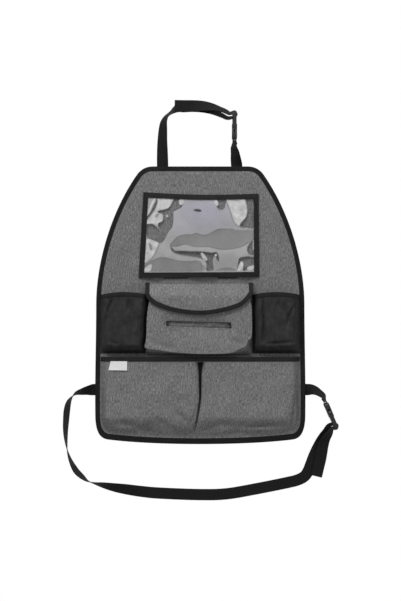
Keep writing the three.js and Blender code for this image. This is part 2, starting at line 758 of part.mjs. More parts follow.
function plugGeometry() {
  const corner = 4;
  const body = plate([
    v2(-halfWidth, plugStart), v2(-halfWidth, plugEnd - corner), v2(-halfWidth + corner, plugEnd),
    v2(halfWidth - corner, plugEnd), v2(halfWidth, plugEnd - corner), v2(halfWidth, plugStart),
  ], buckleThickness - 2, buckleEdge);
  const strapRoom = block(v3(-beyond, -slotHalf, plugBarStart - strapSlot),
    v3(beyond, slotHalf, plugEnd + beyond));
  const barHalf = plugBarThickness / 2;
  const bar = block(v3(-barHalf, -slotHalf - railWidth / 2, plugBarStart),
    v3(barHalf, slotHalf + railWidth / 2, plugEnd - buckleEdge / 2));
  const root = plugStart + 1;
  const tip = plugStart - prongLength;
  const shoulder = mouthHeight - windowStart - 5 - 0.8;
  const outside = slotHalf - 0.5;
  const prong = (side) => {
    const points = [
      v2(outside - prongWidth, root), v2(outside, root), v2(outside - 0.6, shoulder + 1),
      v2(slotHalf + barbReach - 0.4, shoulder), v2(slotHalf + barbReach - 0.4, shoulder - 3.4),
      v2(outside - 2, tip), v2(outside - prongWidth - 0.5, tip), v2(outside - prongWidth - 0.8, shoulder),
    ];
    const placed = side > 0 ? points : points.map((p) => v2(-p.x, p.y)).reverse();
    return plate(placed, prongThickness, 0);
  };
  const guide = block(v3(-prongThickness / 2, -guideWidth / 2, tip + 5),
    v3(prongThickness / 2, guideWidth / 2, root));
  return geometryOf(cut(solidOf(body), strapRoom).add(joined(bar, prong(1), prong(-1), guide)));
}

// A buckle stands on its edge: its middle, and the way from the socket to the adjuster in XZ.
class Buckle {
  constructor(x, y, z, lean) {
    this.centre = v3(x, y, z);
    this.up = v3(Math.sin(lean), 0, Math.cos(lean));
    this.side = v3(Math.cos(lean), 0, -Math.sin(lean));
    this.lean = lean;
  }

  place(across, along, twist = 90) {
    const p = this.centre.clone().addScaledVector(this.side, across).addScaledVector(this.up, along);
    return [p.x, p.y, p.z, twist];
  }

  // The webbing round the adjuster's bar, from the slot to the far side.
  wrap(hand) {
    return span(6).map((t) => {
      const angle = Math.PI * t;
      return this.place(hand * wrapRadius * Math.sin(angle), wrapMiddle - wrapRadius * Math.cos(angle));
    });
  }

  // The webbing that comes to the socket's bar, goes round it and is sewn to itself.
  loop() {
    const radius = barRadius + webbingThickness / 2 + gap + 0.1;
    const near = webbingThickness / 2 + gap;
    const turn = span(6).map((t) => {
      const angle = Math.PI * t;
      return this.place(-radius * Math.cos(angle), socketBar + radius * Math.sin(angle));
    });
    return [
      this.place(-near, socketBar - 19), this.place(-near, socketBar - 14),
      this.place(-radius * 0.75, socketBar - 5), ...turn,
      this.place(radius * 0.75, socketBar - 5), this.place(near, socketBar - 10.5),
      this.place(near, socketBar - 13.5),
    ];
  }

  add(name) {
    const group = new THREE.Group();
    group.position.copy(this.centre);
    group.rotation.y = this.lean;
    add(name + "_socket", socketGeometry(), moulding(), group);
    add(name + "_plug", plugGeometry(), moulding(), group);
    part.add(group);
  }
}

// Top strap: from the top edge over to the buckle, and down again
const buckleDepth = -15.5;
const topBuckle = new Buckle(74.8, buckleDepth, 392.2, 0);
const topLongX = -83;
const topShortX = 80;
topBuckle.add("top_buckle");
add("top_strap_long", strip([
  [topLongX, strapBehind, panelTop - strapSewn, 0],
  [topLongX, strapBehind, panelTop - 8, 0],
  [topLongX, strapBehind, panelTop + 3, 0],
  [topLongX - 0.3, -1, 331, 14],
  [topLongX - 0.3, -5, 360, 34],
  [topLongX + 1, -8, 386, 45],
  [topLongX + 3, -10, 402, 60],
  [topLongX + 8, -11, 413, 80],
  [-69, -11.5, 418, 90],
  [-62, -11.5, 424, 74],
  [-55, -11, 431, 50],
  [-46, -11, 436, 22],
  [-34, -11, 437, 4],
  [-16, -11, 437.4, 0],
  [3, -11, 435.4, 8],
  [17, -12, 429.5, 40],
  [31, -13.5, 422, 66],
  [48, -15, 415.6, 82],
  [62, buckleDepth, 409.8, 88],
  ...topBuckle.wrap(1),
  [66, buckleDepth - 0.2, 421, 92],
  [56, buckleDepth - 1.5, 425, 104],
  [44, buckleDepth - 2.6, 429.5, 118],
  [29, buckleDepth - 3, 434, 126],
  [9, buckleDepth - 1.5, 437.2, 148],
  [-15, -14.4, 438.6, 175],
  [-36, -16.4, 439.4, 180],
  [-56, -19.8, 441.6, 180],
]), webbing());
add("top_strap_short", strip([
  [topShortX, strapBehind, panelTop - strapSewn, 0],
  [topShortX, strapBehind, panelTop - 8, 0],
  [topShortX, strapBehind, panelTop + 3, 0],
  [topShortX - 1, -2.5, 316, 22],
  [topShortX - 2.6, -9.5, 326, 52],
  [topShortX - 4.6, -14.3, 336, 78],
  ...topBuckle.loop(),
]), webbing());

// Lower strap: out of the left side, round under the panel and up to the buckle at the right
const sideEdge = panelHalfWidth;
const strapLevel = -185.5;
const lowerBuckle = new Buckle(sideEdge + 54.3, buckleDepth, strapLevel - 54.9, radians(157));
lowerBuckle.add("lower_buckle");
add("lower_strap_long", strip([
  [-sideEdge + strapSewn, strapBehind, strapLevel, 0],
  [-sideEdge + 8, strapBehind, strapLevel, 0],
  [-sideEdge - 3, strapBehind, strapLevel - 0.2, 2],
  [-sideEdge - 14.9, -4, -186.7, 39],
  [-sideEdge - 28.3, -9, -189.3, 61],
  [-sideEdge - 40.6, -12, -193, 85],
  [-sideEdge - 51.2, -12.5, -203, 108],
  [-sideEdge - 57.6, -12.5, -215, 124],
  [-sideEdge - 61.1, -12.5, -231.5, 131],
  [-sideEdge - 62.9, -12.5, -252.5, 127],
  [-sideEdge - 64, -12.5, -274.5, 120],
  [-sideEdge - 63.1, -12.5, -296.5, 109],
  [-sideEdge - 60, -12.5, -318.5, 92],
  [-sideEdge - 53, -12.5, -340.5, 80],
  [-sideEdge - 41.1, -12.5, -362.5, 68],
  [-sideEdge - 26.5, -12.5, -376.8, 75],
  [-sideEdge - 14.5, -12.5, -385.8, 92],
  [-sideEdge + 2, -12, -391, 107],
  [-sideEdge + 18.8, -11.5, -394.6, 124],
  [-187.7, -9, -399.9, 144],
  [-162.1, -6, -404.3, 160],
  [-128.5, -4, -409.3, 172],
  [-88.7, -3, -413, 180],
  [-2.9, -2.5, -416.3, 180],
  [57.6, -2.5, -414.6, 180],
  [124.7, -2.5, -403.2, 180],
  [sideEdge - 39, -3, -389.5, 180],
  [sideEdge - 16.5, -3, -384.6, 180],
  [sideEdge - 1, -4, -377.3, 180],
  [sideEdge + 9.5, -4, -365.2, 180],
  [sideEdge + 15.5, -4, -349.2, 180],
  [sideEdge + 22.5, -4.4, -329.5, 180],
  [sideEdge + 30.7, -6, -308.5, 170],
  [sideEdge + 37.3, -9, -289.8, 145],
  [sideEdge + 43.9, -13, -275.5, 115],
  [sideEdge + 51.2, buckleDepth, -262.6, 95],
  ...lowerBuckle.wrap(-1),
  [sideEdge + 57.1, buckleDepth - 0.3, -270, 88],
  [sideEdge + 50.5, buckleDepth + 1.5, -282.5, 60],
  [sideEdge + 42.8, -11, -295.4, 33],
  [sideEdge + 37.5, -9, -309.6, 12],
  [sideEdge + 32.7, -7.6, -336, 0],
  [sideEdge + 27.5, -7.4, -358, 0],
  [sideEdge + 23.3, -7.4, -375.7, 0],
]), webbing());
add("lower_strap_short", strip([
  [sideEdge - strapSewn, strapBehind, strapLevel, 0],
  [sideEdge - 8, strapBehind, strapLevel, 0],
  [sideEdge + 2, strapBehind, strapLevel, 0],
  [sideEdge + 14.2, -7.5, -185.4, 40],
  [sideEdge + 25.5, -14.2, -189.2, 74],
  ...lowerBuckle.loop(),
]), webbing());

export default part;
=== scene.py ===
import math

import bmesh
import bpy
import numpy as np
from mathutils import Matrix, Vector, noise


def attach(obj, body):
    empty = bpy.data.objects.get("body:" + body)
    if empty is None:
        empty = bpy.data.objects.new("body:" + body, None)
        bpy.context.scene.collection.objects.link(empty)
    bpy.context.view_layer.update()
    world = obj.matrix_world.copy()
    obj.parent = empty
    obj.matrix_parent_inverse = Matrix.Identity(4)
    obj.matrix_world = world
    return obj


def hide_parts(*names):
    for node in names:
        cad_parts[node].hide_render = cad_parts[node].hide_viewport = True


MM = 0.001

# Panel outline
PANEL_TOP = 305.2
PANEL_BOTTOM = -305.3
PANEL_HALF_WIDTH = 231.5
WAIST_TAPER = 2.5
LOWER_CORNER_RUN = 26.5
LOWER_CORNER_LIFT = 10.3
LOWER_CORNER_RISE = 66.3
SHOULDER_BULGE = 95
SHOULDER_LEAN = 56
SHOULDER_FALL = 81
TOP_CORNER_HALF = 140
TOP_CORNER_DROP = 19.2
TOP_EDGE_HALF = 104

# Panel layers: Y of their faces, inside the binding and where they are pressed down at the rim.
# RIM_SHARE is the part of the panel's breadth over which they rise from the rim.
PANEL_FRONT = -3.5
FACE_THICKNESS = 0.9
LINING_THICKNESS = 0.8
RIM_BACK = -1.2
RIM_FRONT = -2.9
RIM_TUCK = 1.5
RIM_SHARE = 0.022
LINING_SINK = 0.12
LAYER_GAP = 0.1
PADDING_INSET = 2.1
PADDING_FRONT = -2.55
PADDING_THICKNESS = 1.7

# Tapes and seams
BINDING_WIDTH = 10.5
# The wider binding at the foot is partly painted shade: the black tape also covers the shadow under the
# lower pockets.
BINDING_BOTTOM_WIDTH = 12.8
BINDING_FRONT = -4.1
BINDING_WEB = 1.2
BINDING_SOFTNESS = 0.9
TAPE_THICKNESS = 1.0
TAPE_GAP = 0.3
SEAM = 2.2
CLOTH_THICKNESS = 1.2
CLOTH_GAP = 0.05
MESH_THICKNESS = 1.0

# Clear window: corners of the outer edge of its frame
WINDOW_TOP_LEFT = (-125, 248.5)
WINDOW_TOP_RIGHT = (128, 245.2)
WINDOW_BOTTOM_LEFT = (-135.5, 60.4)
WINDOW_BOTTOM_RIGHT = (129.6, 62.2)
WINDOW_TOP_SAG = 4
WINDOW_TAPE_WIDTH = 11.4
WINDOW_TAPE_THICKNESS = 1.2
WINDOW_TAPE_GAP = 1.1
WINDOW_SLACK = 7
FILM_THICKNESS = 0.5
FILM_BORDER = 1.2
FASTENERS = {"left": (-81, -27), "right": (39, 81)}
FASTENER_THICKNESS = 1.4
FASTENER_HEIGHT = 13
FASTENER_SHOW = 2.6

# Tissue pocket and its flap
TISSUE_DEPTH = 30
TISSUE_MOUTH_DEPTH = 24
TISSUE_BELLY = 2.5
TISSUE_DENT = 8
TISSUE_DENT_REACH = 30
TISSUE_TOP = 14
TISSUE_SIDE_ROWS = 26
TISSUE_FOOT_ROWS = 56
TISSUE_LEFT_EDGE = [(-120.6, -92.6), (-121.2, -87), (-118, -69), (-116.6, -26), (-112, 9), (-111.6, 14)]
TISSUE_LOW_EDGE = [
    (-120.6, -92.6), (-112, -94.6), (-92.4, -97), (-63.3, -101.5), (-27, -104.8), (0, -106), (28, -106),
    (57, -104.8), (73, -101.5), (86, -94.8), (98.6, -90.4),
]
TISSUE_RIGHT_EDGE = [
    (98.6, -90.4), (101.5, -86), (104, -76), (112.2, -66), (112.2, -11), (109.6, 6.7), (109.4, 14),
]
TISSUE_FOOT = -110
TISSUE_FOOT_LEFT = -117.8
TISSUE_FOOT_RIGHT = 113.4
SLOT_CORNERS = [(-74.6, -45.6), (68.8, -51), (67, -37.2), (-74.6, -33.8)]
SLOT_CORNER = 2
SLOT_BACKING = 16
SLOT_BACKING_REACH = 22
FLAP_TOP = 47.5
FLAP_LEFT = -120.5
FLAP_RIGHT = 115.6
FLAP_EDGE = [
    (-120.5, 29), (-119.6, 24.5), (-113.6, 12.7), (-103.4, 3.7), (-89, -3.5), (-64, -12.5), (-27.7, -19),
    (8, -20.5), (44.3, -15.5), (80.5, -5.5), (98.4, 5.4), (112.8, 23.5), (115.6, 30),
]
FLAP_RUN = 34
FLAP_CLEARANCE = 2
FLAP_BINDING_WIDTH = 9.4

# Mesh pockets
MESH_OUTER = 217.5
MESH_UNDER_TISSUE = 1
MESH_RIGHT_SEAM = 114.4
MESH_TOP = 23
MESH_ARCH = 6
MESH_FOLD = -85
MESH_BOTTOM = -106
MESH_MOUTH_DEPTH = 30
MESH_BELLY_DEPTH = 32
MESH_SIDE_RUN = 14
MESH_BAND_WIDTH = 9

# Lower pockets: one wide cloth stitched down the middle
POCKET_HALF_WIDTH = 218.6
POCKET_TOP = -113
POCKET_FOLD = -244
POCKET_MOUTH_DEPTH = 17
POCKET_BELLY_DEPTH = 24
POCKET_SIDE_RUN = 16
POCKET_MIDDLE_RUN = 11
# The black tape down the lower pockets' middle valley is painted shade: a dark strip where the valley lies
# in shadow.
SHADE_TAPE_FOOT = -207
SHADE_TAPE_LIFT = 3.2
SHADE_TAPE_TUCK = 1.2
SHADE_TAPE_THICKNESS = 0.4
POCKET_SEAM_DRIFT = [(-305, -15), (-279, -14), (-252, -7.6), (-235, -4.6), (-207, -0.2), (-113, 0)]
POCKET_SEAM_GAP = [(-305, 0.8), (-207, 0.9), (-152, 2.4), (-126, 5.4), (-113, 5.4)]
POCKET_BAND_WIDTH = 10
LABEL_LEFT = -196
LABEL_WIDTH = 36
LABEL_HEIGHT = 20
LABEL_THICKNESS = 0.6
LABEL_CURL = 0.7
LABEL_LIFT = 0.6
LABEL_SLANT = 5

# Webbing and buckles
WEBBING_WIDTH = 25
WEBBING_THICKNESS = 1.7
STRAP_SEWN = 22
STRAP_BEHIND = 0.9
BUCKLE_DEPTH = -15.5
SOCKET_BAR = -26.5
BAR_RADIUS = 2.2
HERRINGBONE_TURN = 3.12
WRAP_MIDDLE = 26.8
WRAP_RADIUS = math.hypot(6.4, 5) / 2 + 1.5

# Sewing thread
STITCH_PITCH = 3.6
STITCH_LENGTH = 2.5
STITCH_RADIUS = 0.28
STITCH_INSET = 1.8
STITCH_SIDES = 5
# The rings of one stitch: reach along it by its length, lift and size by its radius
STITCH_RINGS = ((-0.5, -0.5, 0.5), (-0.3, 0.6, 1), (0.3, 0.6, 1), (0.5, -0.5, 0.5))

# Fineness of the meshes: steps of each outline curve, of a curve through typed points, of a
# rounded corner and between two points of a strap
OUTLINE_STEPS = 6
CURVE_STEPS = 5
CORNER_STEPS = 3
STRAP_STEPS = 5
WELD_DISTANCE = 0.01

# How each kind of patch on the film is painted: the softness of its edge in millimetres, its
# strength, and the levels that it leads to, among them a painted reflection. They are painted in this
# order.
PATCH_LOOKS = {
    "veil": (1.8, 1, {"milk": 0.46, "lilac": 0}),
    "pale": (7, 0.55, {"painted_glare": 0.3}),
    "clear": (2, 1, {"milk": 0.03, "painted_glare": 0}),
    "white": (2, 1, {"milk": 0.95, "painted_glare": 1}),
    "hole": (2, 0.8, {"milk": 0.35, "painted_glare": 0}),
}

# Patches that stand for the light and the folds on the clear film, painted on it as outlines in X and Z.
# "white" is a painted reflection and "hole" a gap in it, "pale" a lighter haze with a faint painted
# reflection, "veil" a thinner haze, "clear" shows the cloth behind, and "line" is painted shade along a
# narrow crease.
FILM_PATCHES = {
    "white": [
        [(-92.9, 239.9), (-58.4, 238.2), (-61.3, 228.3), (-68.3, 216.7), (-75.6, 212.1),
         (-91.4, 208.3), (-93.5, 203.7), (-84.1, 199.5), (-81.9, 194.6), (-84.1, 185.1),
         (-91.4, 180.9), (-93.5, 174.6), (-90.4, 167.3), (-95.6, 172.5), (-104, 178.8),
         (-113.5, 179.3), (-120.3, 179.9), (-113.5, 189.4), (-105.1, 198.8), (-98.8, 208.3),
         (-95.6, 216.7), (-92.9, 227.2)],
        [(-99.2, 240.3), (-95.6, 239.4), (-104, 222), (-111.4, 205.1), (-117.7, 194.6),
         (-119.4, 195.7), (-113.5, 210.4), (-106.2, 226.2)],
        [(-116.7, 145.2), (-92.5, 137.2), (-93.5, 130.4), (-98.8, 117.8), (-107.2, 105.2),
         (-115.6, 98.9), (-124, 91.5), (-123, 101), (-120.9, 113.6), (-118.8, 126.2)],
        [(58, 236.7), (94.8, 235.7), (99.1, 225.1), (102.2, 214.6), (102.2, 202), (98, 191.5),
         (88.5, 182), (85.4, 174.6), (78, 178.8), (72.7, 189.4), (68.5, 204.1), (63.3, 220.9)],
        [(-45.1, 235.7), (-35.6, 235.7), (-38.8, 222), (-44.1, 220.5), (-46.8, 225.1)],
        [(29.2, 235), (34.4, 235), (39.5, 222.6), (37, 218.8), (32.1, 225.1)],
        [(1.2, 114), (6, 114), (15.3, 101.4), (10.7, 97.8), (3.9, 105.2)],
        [(89.6, 96.3), (94.2, 92.5), (92.7, 83.1), (87.5, 76.8), (81.2, 76.1), (85.4, 87.3)],
        [(31.7, 111.5), (35.5, 111.9), (35.9, 108.3), (32.5, 107.7)],
        [(-74.8, 197.8), (-71.4, 197.8), (-71.4, 194), (-74.4, 194)],
        [(-125.1, 74.6), (-123, 81), (-108.3, 90.4), (-107.2, 82), (-111.4, 74.6)],
        [(117.2, 220.9), (119.3, 220.9), (119.7, 207.2), (117.6, 208.3)],
        [(115.9, 140.9), (119.7, 143), (119.7, 130.4), (117.6, 122), (115.5, 124.1)],
        [(103.3, 83.1), (119.1, 88.3), (119.1, 81), (106.4, 76.8)],
    ],
    "clear": [
        [(-58.8, 237.8), (-46.2, 235.7), (-46.8, 223), (-42, 219.9), (-37.7, 222.6), (-42, 214.6),
         (-52.5, 208.3), (-58.8, 204.1), (-58.8, 189.4), (-60.9, 172.5), (-71.4, 157.8),
         (-80.9, 140.9), (-90.4, 136.7), (-107.2, 144.1), (-116.7, 149.4), (-118.8, 163),
         (-121.5, 170.4), (-118.8, 177.8), (-107.2, 178.8), (-95.6, 172.5), (-89.9, 166.6),
         (-93.5, 174.6), (-91.4, 180.9), (-83, 185.1), (-81.9, 194.6), (-84.1, 199.5), (-93.5, 203.7),
         (-91.4, 207.7), (-75.6, 211.5), (-67.2, 216.7), (-61.3, 228.3)],
        [(-95, 239.9), (-92.1, 235.7), (-95, 220.9), (-100.9, 208.3), (-111.4, 194.6), (-119.8, 185.1),
         (-119.4, 192.5), (-110.4, 203), (-104, 216.7), (-97.7, 230.4)],
        [(95.9, 235), (114.8, 234.6), (119.1, 223), (120.1, 172.5), (97, 170.4), (87.5, 172.5),
         (86.4, 176.7), (94.8, 187.2), (101.2, 195.7), (103.3, 210.4), (100.1, 227.2)],
        [(38, 234.6), (57, 234.6), (55.9, 223), (51.7, 211.5), (42.2, 209.3), (35.9, 216.7), (39.7, 222)],
        [(-65.5, 129.4), (-60.5, 124.5), (-54.6, 119.5), (-42, 119.9), (-20.9, 118.8), (-2, 118.8),
         (12.8, 117.4), (25.4, 115.7), (34.9, 116.7), (40.1, 109.4), (41.2, 96.7), (37, 98.9),
         (33.8, 104.7), (30.7, 106.8), (27.5, 98.9), (28.5, 88.3), (28.5, 76.8), (13.8, 75.7),
         (13.8, 88.3), (10.7, 96.7), (2.2, 102), (-8.3, 104.7), (-29.3, 108.3), (-46.2, 111.5),
         (-57.7, 115.7), (-63, 120.9)],
        [(88.5, 105.2), (118, 106.2), (120.1, 89.4), (105.4, 84.1), (103.3, 77.8), (93.8, 76.1),
         (94.8, 90.4), (90.6, 95.7), (84.3, 88.3), (81.2, 76.8), (82.6, 92.5)],
        [(116.9, 143), (119.1, 132.5), (118, 117.8), (115.9, 109.4), (106.4, 112.5), (102.2, 122),
         (105.4, 132.5)],
        [(-15.7, 209.3), (-6.2, 211.5), (2.2, 208.7), (1.2, 205.1), (-8.3, 205.1)],
    ],
    "hole": [
        [(-97.7, 198.8), (-93.5, 201.6), (-90.4, 199.9), (-92.9, 195.2), (-96.7, 191.9), (-98.8, 194.6)],
        [(-112.5, 136.7), (-108.3, 134.6), (-105.1, 125.2), (-108.3, 119.9), (-111.8, 126.2)],
    ],
    "veil": [
        [(-66.2, 132.5), (-58.8, 140.9), (-48.3, 150.4), (-33.5, 154.6), (-19.9, 154.6), (-9.3, 158.2),
         (2.2, 154.6), (14.9, 155), (27.5, 160.9), (40.1, 167.3), (57, 167.3), (73.8, 166.2),
         (97, 165.1), (120.5, 166.2), (120.5, 147.3), (105.4, 136.7), (94.8, 130.4), (82.2, 126.2),
         (65.4, 123.1), (46.4, 122), (31.7, 125.2), (17, 128.3), (-2, 128.7), (-16.7, 129.4),
         (-29.3, 133.6), (-39.9, 132.5), (-50.4, 129.4), (-63, 129.4)],
        [(-124, 84.1), (-107.2, 96.7), (-88.3, 104.1), (-71.4, 103.1), (-52.5, 97.8), (-29.3, 95.7),
         (-8.3, 96.7), (2.2, 92.5), (3.3, 75.3), (-124, 74.2)],
        [(34.9, 76.1), (50.6, 82), (67.5, 82), (79.1, 76.1)],
    ],
    "pale": [
        [(-60.9, 129.2), (-50.4, 128.9), (-29.3, 132.5), (-16.7, 128.7), (12.8, 127.1), (46.4, 120.9),
         (75.9, 123.1), (105.4, 133.6), (113.8, 140.9), (103.3, 120.9), (106.4, 111.5), (90.6, 109.4),
         (46.4, 117.4), (25.4, 117.4), (-2, 120.3), (-42, 120.9), (-54.6, 120.3)],
        [(-124, 87.3), (-105.1, 105.2), (-88.3, 130.4), (-77.7, 143), (-67.2, 130.4), (-58.8, 114.6),
         (-29.3, 106.8), (2.2, 101), (9.6, 94.6), (12.8, 76.8), (6, 76.1), (2.2, 94.2), (-8.3, 98.4),
         (-50.4, 99.3), (-71.4, 105.2), (-88.3, 105.6), (-107.2, 98.4)],
        [(86.4, 171.5), (97, 169.4), (120.5, 170.8), (120.5, 166.2), (73.8, 166.2), (57, 168.3),
         (42.2, 168.3)],
    ],
    "line": [
        [(-66.2, 130.4), (-62, 137.8), (-48.3, 150.4), (-33.5, 154.6), (-19.9, 154.6), (-9.3, 158.2),
         (2.2, 154), (14.9, 155), (27.5, 160.9), (40.1, 166.6), (57, 167.9), (73.8, 166.6)],
        [(-63, 129.4), (-50.4, 130.4), (-39.9, 132.9), (-31.4, 134.2), (-16.7, 129.4), (-2, 128.7),
         (17, 128.3), (31.7, 125.2), (46.4, 122.4), (65.4, 123.1), (82.2, 126.2), (94.8, 130.4),
         (106.4, 137.8), (116.9, 144.7)],
        [(54.9, 234.6), (60.1, 218.8), (65.4, 206.2), (69.6, 191.5), (74.9, 179.9), (85.4, 171.5),
         (94.8, 170)],
        [(-107.2, 178.8), (-97.7, 176.7), (-89.9, 167.3), (-86.2, 159.9)],
        [(-123, 90.4), (-111.4, 96.7), (-103, 106.2), (-95.6, 120.9), (-90.4, 134.6), (-84.1, 143)],
        [(-123, 85.2), (-107.2, 97.2), (-88.3, 104.1), (-71.4, 103.1), (-52.5, 98.2), (-29.3, 95.7),
         (-8.3, 96.7), (1.2, 93), (2.7, 76.1)],
        [(-65.5, 130.4), (-63, 120.9), (-55.6, 114.6), (-42, 110.4), (-25.1, 107.7), (0.1, 104.1)],
    ],
}

# Camera: in front of the panel's middle, level, as the photograph was taken. Its place is in
# metres, and its lens and sensor are in millimetres.
CAMERA_PLACE = (0.00044, -3.673, 0.01045)
CAMERA_LENS = 100
CAMERA_SENSOR = 36

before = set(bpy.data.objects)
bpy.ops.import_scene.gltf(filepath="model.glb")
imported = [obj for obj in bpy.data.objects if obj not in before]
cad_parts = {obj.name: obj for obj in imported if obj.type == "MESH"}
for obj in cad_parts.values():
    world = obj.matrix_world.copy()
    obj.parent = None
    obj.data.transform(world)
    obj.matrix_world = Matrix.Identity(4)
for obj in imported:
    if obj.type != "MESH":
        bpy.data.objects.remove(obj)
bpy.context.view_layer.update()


def add_camera():
    bpy.ops.object.camera_add(location=CAMERA_PLACE, rotation=(math.radians(90), 0, 0))
    camera = bpy.context.object
    camera.name = "camera"
    camera.data.lens = CAMERA_LENS
    camera.data.sensor_width = CAMERA_SENSOR
    camera.data.clip_end = 50
    bpy.context.scene.camera = camera


add_camera()
bpy.context.scene.view_settings.view_transform = "Standard"


# Making meshes


def deselect():
    if bpy.context.object and bpy.context.object.mode != "OBJECT":
        bpy.ops.object.mode_set(mode="OBJECT")
    bpy.ops.object.select_all(action="DESELECT")


def select(piece):
    deselect()
    piece.select_set(True)
    bpy.context.view_layer.objects.active = piece


def mix(a, b, t):
    return a + (b - a) * t


def unit(t):
    return min(max(t, 0.0), 1.0)


def ease(t):
    t = unit(t)
    return t * t * (3 - 2 * t)


def rise(t):
    return math.sin(math.pi / 2 * unit(t))


def arc_lengths(places, axis):
    """Length along one direction of a grid of points, from its middle."""
    steps = np.linalg.norm(np.diff(places, axis=axis), axis=2)
    total = np.cumsum(steps, axis=axis)
    pad = [(0, 0), (0, 0)]
    pad[axis] = (1, 0)
    total = np.pad(total, pad)
    middle = np.take(total, [total.shape[axis] // 2], axis=axis)
    return total - middle


def grid_piece(name, across, up, place):
    """A grid of cloth with a vertex at place(a, b) for each a in across and b in up.
    Its UV map holds lengths along the cloth in metres."""
    columns, rows = len(across) - 1, len(up) - 1
    deselect()
    bpy.ops.mesh.primitive_grid_add(x_subdivisions=columns, y_subdivisions=rows, size=2)
    piece = bpy.context.object
    piece.name = name
    places = np.array([[place(a, b) for b in up] for a in across], float) * MM
    mesh = piece.data
    spots = np.empty(len(mesh.vertices) * 3)
    mesh.vertices.foreach_get("co", spots)
    spots = spots.reshape(-1, 3)
    i = np.rint((spots[:, 0] + 1) / 2 * columns).astype(int)
    j = np.rint((spots[:, 1] + 1) / 2 * rows).astype(int)
    mesh.vertices.foreach_set("co", places[i, j].ravel())
    corners = np.empty(len(mesh.loops), dtype=np.int32)
    mesh.loops.foreach_get("vertex_index", corners)
    lengths = np.stack([arc_lengths(places, 0), arc_lengths(places, 1)], axis=2)
    mesh.uv_layers.active.data.foreach_set("uv", lengths[i[corners], j[corners]].ravel())
    mesh.update()
    return piece


def apply_modifier(piece, kind, **settings):
    select(piece)
    modifier = piece.modifiers.new(kind.title(), kind)
    for key, value in settings.items():
        setattr(modifier, key, value)
    bpy.ops.object.modifier_apply(modifier=modifier.name)


def thicken(piece, thickness):
    """Gives a sheet its thickness, behind the surface that was placed."""
    apply_modifier(piece, "SOLIDIFY", thickness=thickness * MM, offset=-1, use_even_offset=True)


def smooth(piece, degrees=50):
    select(piece)
    bpy.ops.object.shade_smooth_by_angle(angle=math.radians(degrees))


def weld(piece):
    """Joins doubled vertices and turns the faces outwards."""
    select(piece)
    bpy.ops.object.mode_set(mode="EDIT")
    bpy.ops.mesh.select_all(action="SELECT")
    bpy.ops.mesh.remove_doubles(threshold=WELD_DISTANCE * MM)
    bpy.ops.mesh.normals_make_consistent(inside=False)
    bpy.ops.object.mode_set(mode="OBJECT")


def close_ends(piece):
    """Fills the open ends of a swept piece and turns the faces outwards."""
    select(piece)
    bpy.ops.object.mode_set(mode="EDIT")
    bpy.ops.mesh.select_all(action="SELECT")
    bpy.ops.mesh.fill_holes(sides=0)
    bpy.ops.mesh.normals_make_consistent(inside=False)
    bpy.ops.object.mode_set(mode="OBJECT")


def finish_piece(piece, material, slot, nodes=()):
    """Gives a piece its material and the nodes that it takes the place of; the slot is not used."""
    piece.data.materials.clear()
    piece.data.materials.append(material)
    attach(piece, "root")
    if nodes:
        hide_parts(*nodes)
    return piece


def swept_piece(name, frames, section, closed):
    """A tape: the section's (out, normal) offsets carried along frames of (point, out, normal)."""
    count = len(section)

    def place(a, b):
        point, out, normal = frames[a % len(frames)]
        s, t = section[b % count]
        return tuple(point + out * s + normal * t)

    along = list(range(len(frames) + (1 if closed else 0)))
    piece = grid_piece(name, along, list(range(count + 1)), place)
    weld(piece)
    if not closed:
        close_ends(piece)
    smooth(piece)
    return piece


def stitch_row(name, spots, material):
    """Lockstitches along a line of (point, normal): each is a short plump strand that dips in
    at both ends."""
    mesh = bmesh.new()
    gaps = [(b[0] - a[0]).length for a, b in zip(spots, spots[1:])]
    total = sum(gaps)
    reached, k, at = 0.0, 0, 0.0
    while at + STITCH_LENGTH < total:
        while k < len(gaps) - 1 and reached + gaps[k] < at + STITCH_LENGTH / 2:
            reached += gaps[k]
            k += 1
        share = (at + STITCH_LENGTH / 2 - reached) / max(gaps[k], 1e-6)
        middle = spots[k][0].lerp(spots[k + 1][0], share)
        normal = spots[k][1].lerp(spots[k + 1][1], share).normalized()
        along = (spots[k + 1][0] - spots[k][0]).normalized()
        side = along.cross(normal).normalized()
        rings = []
        for reach, lift, size in STITCH_RINGS:
            heart = middle + along * (reach * STITCH_LENGTH) + normal * (lift * STITCH_RADIUS)
            ring = []
            for turn in range(STITCH_SIDES):
                angle = 2 * math.pi * turn / STITCH_SIDES
                out = side * math.cos(angle) + normal * math.sin(angle)
                ring.append(mesh.verts.new((heart + out * (STITCH_RADIUS * size)) * MM))
            rings.append(ring)
        for first, second in zip(rings, rings[1:]):
            for turn in range(STITCH_SIDES):
                after = (turn + 1) % STITCH_SIDES
                mesh.faces.new((first[turn], first[after], second[after], second[turn]))
        mesh.faces.new(list(reversed(rings[0])))
        mesh.faces.new(rings[-1])
        at += STITCH_PITCH
    bmesh.ops.recalc_face_normals(mesh, faces=mesh.faces)
    data = bpy.data.meshes.new(name)
    mesh.to_mesh(data)
    mesh.free()
    piece = bpy.data.objects.new(name, data)
    bpy.context.collection.objects.link(piece)
    smooth(piece, 60)
    finish_piece(piece, material, "black_tape")
    return piece


def ripple(x, z, size, seed):
    """A smooth unevenness from -1 to 1 of about that size."""
    return noise.noise(Vector((x / size + seed, z / size - seed, seed)))


def crease(x, z, start, end, width, depth):
    """A soft fold along a line, deepest halfway and fading at its ends."""
    ax, az = start
    dx, dz = end[0] - ax, end[1] - az
    t = ((x - ax) * dx + (z - az) * dz) / (dx * dx + dz * dz)
    near = unit(t)
    away = math.hypot(x - ax - dx * near, z - az - dz * near)
    return depth * math.sin(math.pi * (0.12 + 0.76 * near)) * math.exp(-((away / width) ** 2))


# Outline of the panel


def curve_points(points, count):
    """Points along a curve of any degree, without its last one."""
    made = []
    for k in range(count):
        t = k / count
        level = [Vector(p) for p in points]
        while len(level) > 1:
            level = [a.lerp(b, t) for a, b in zip(level, level[1:])]
        made.append(level[0])
    return made


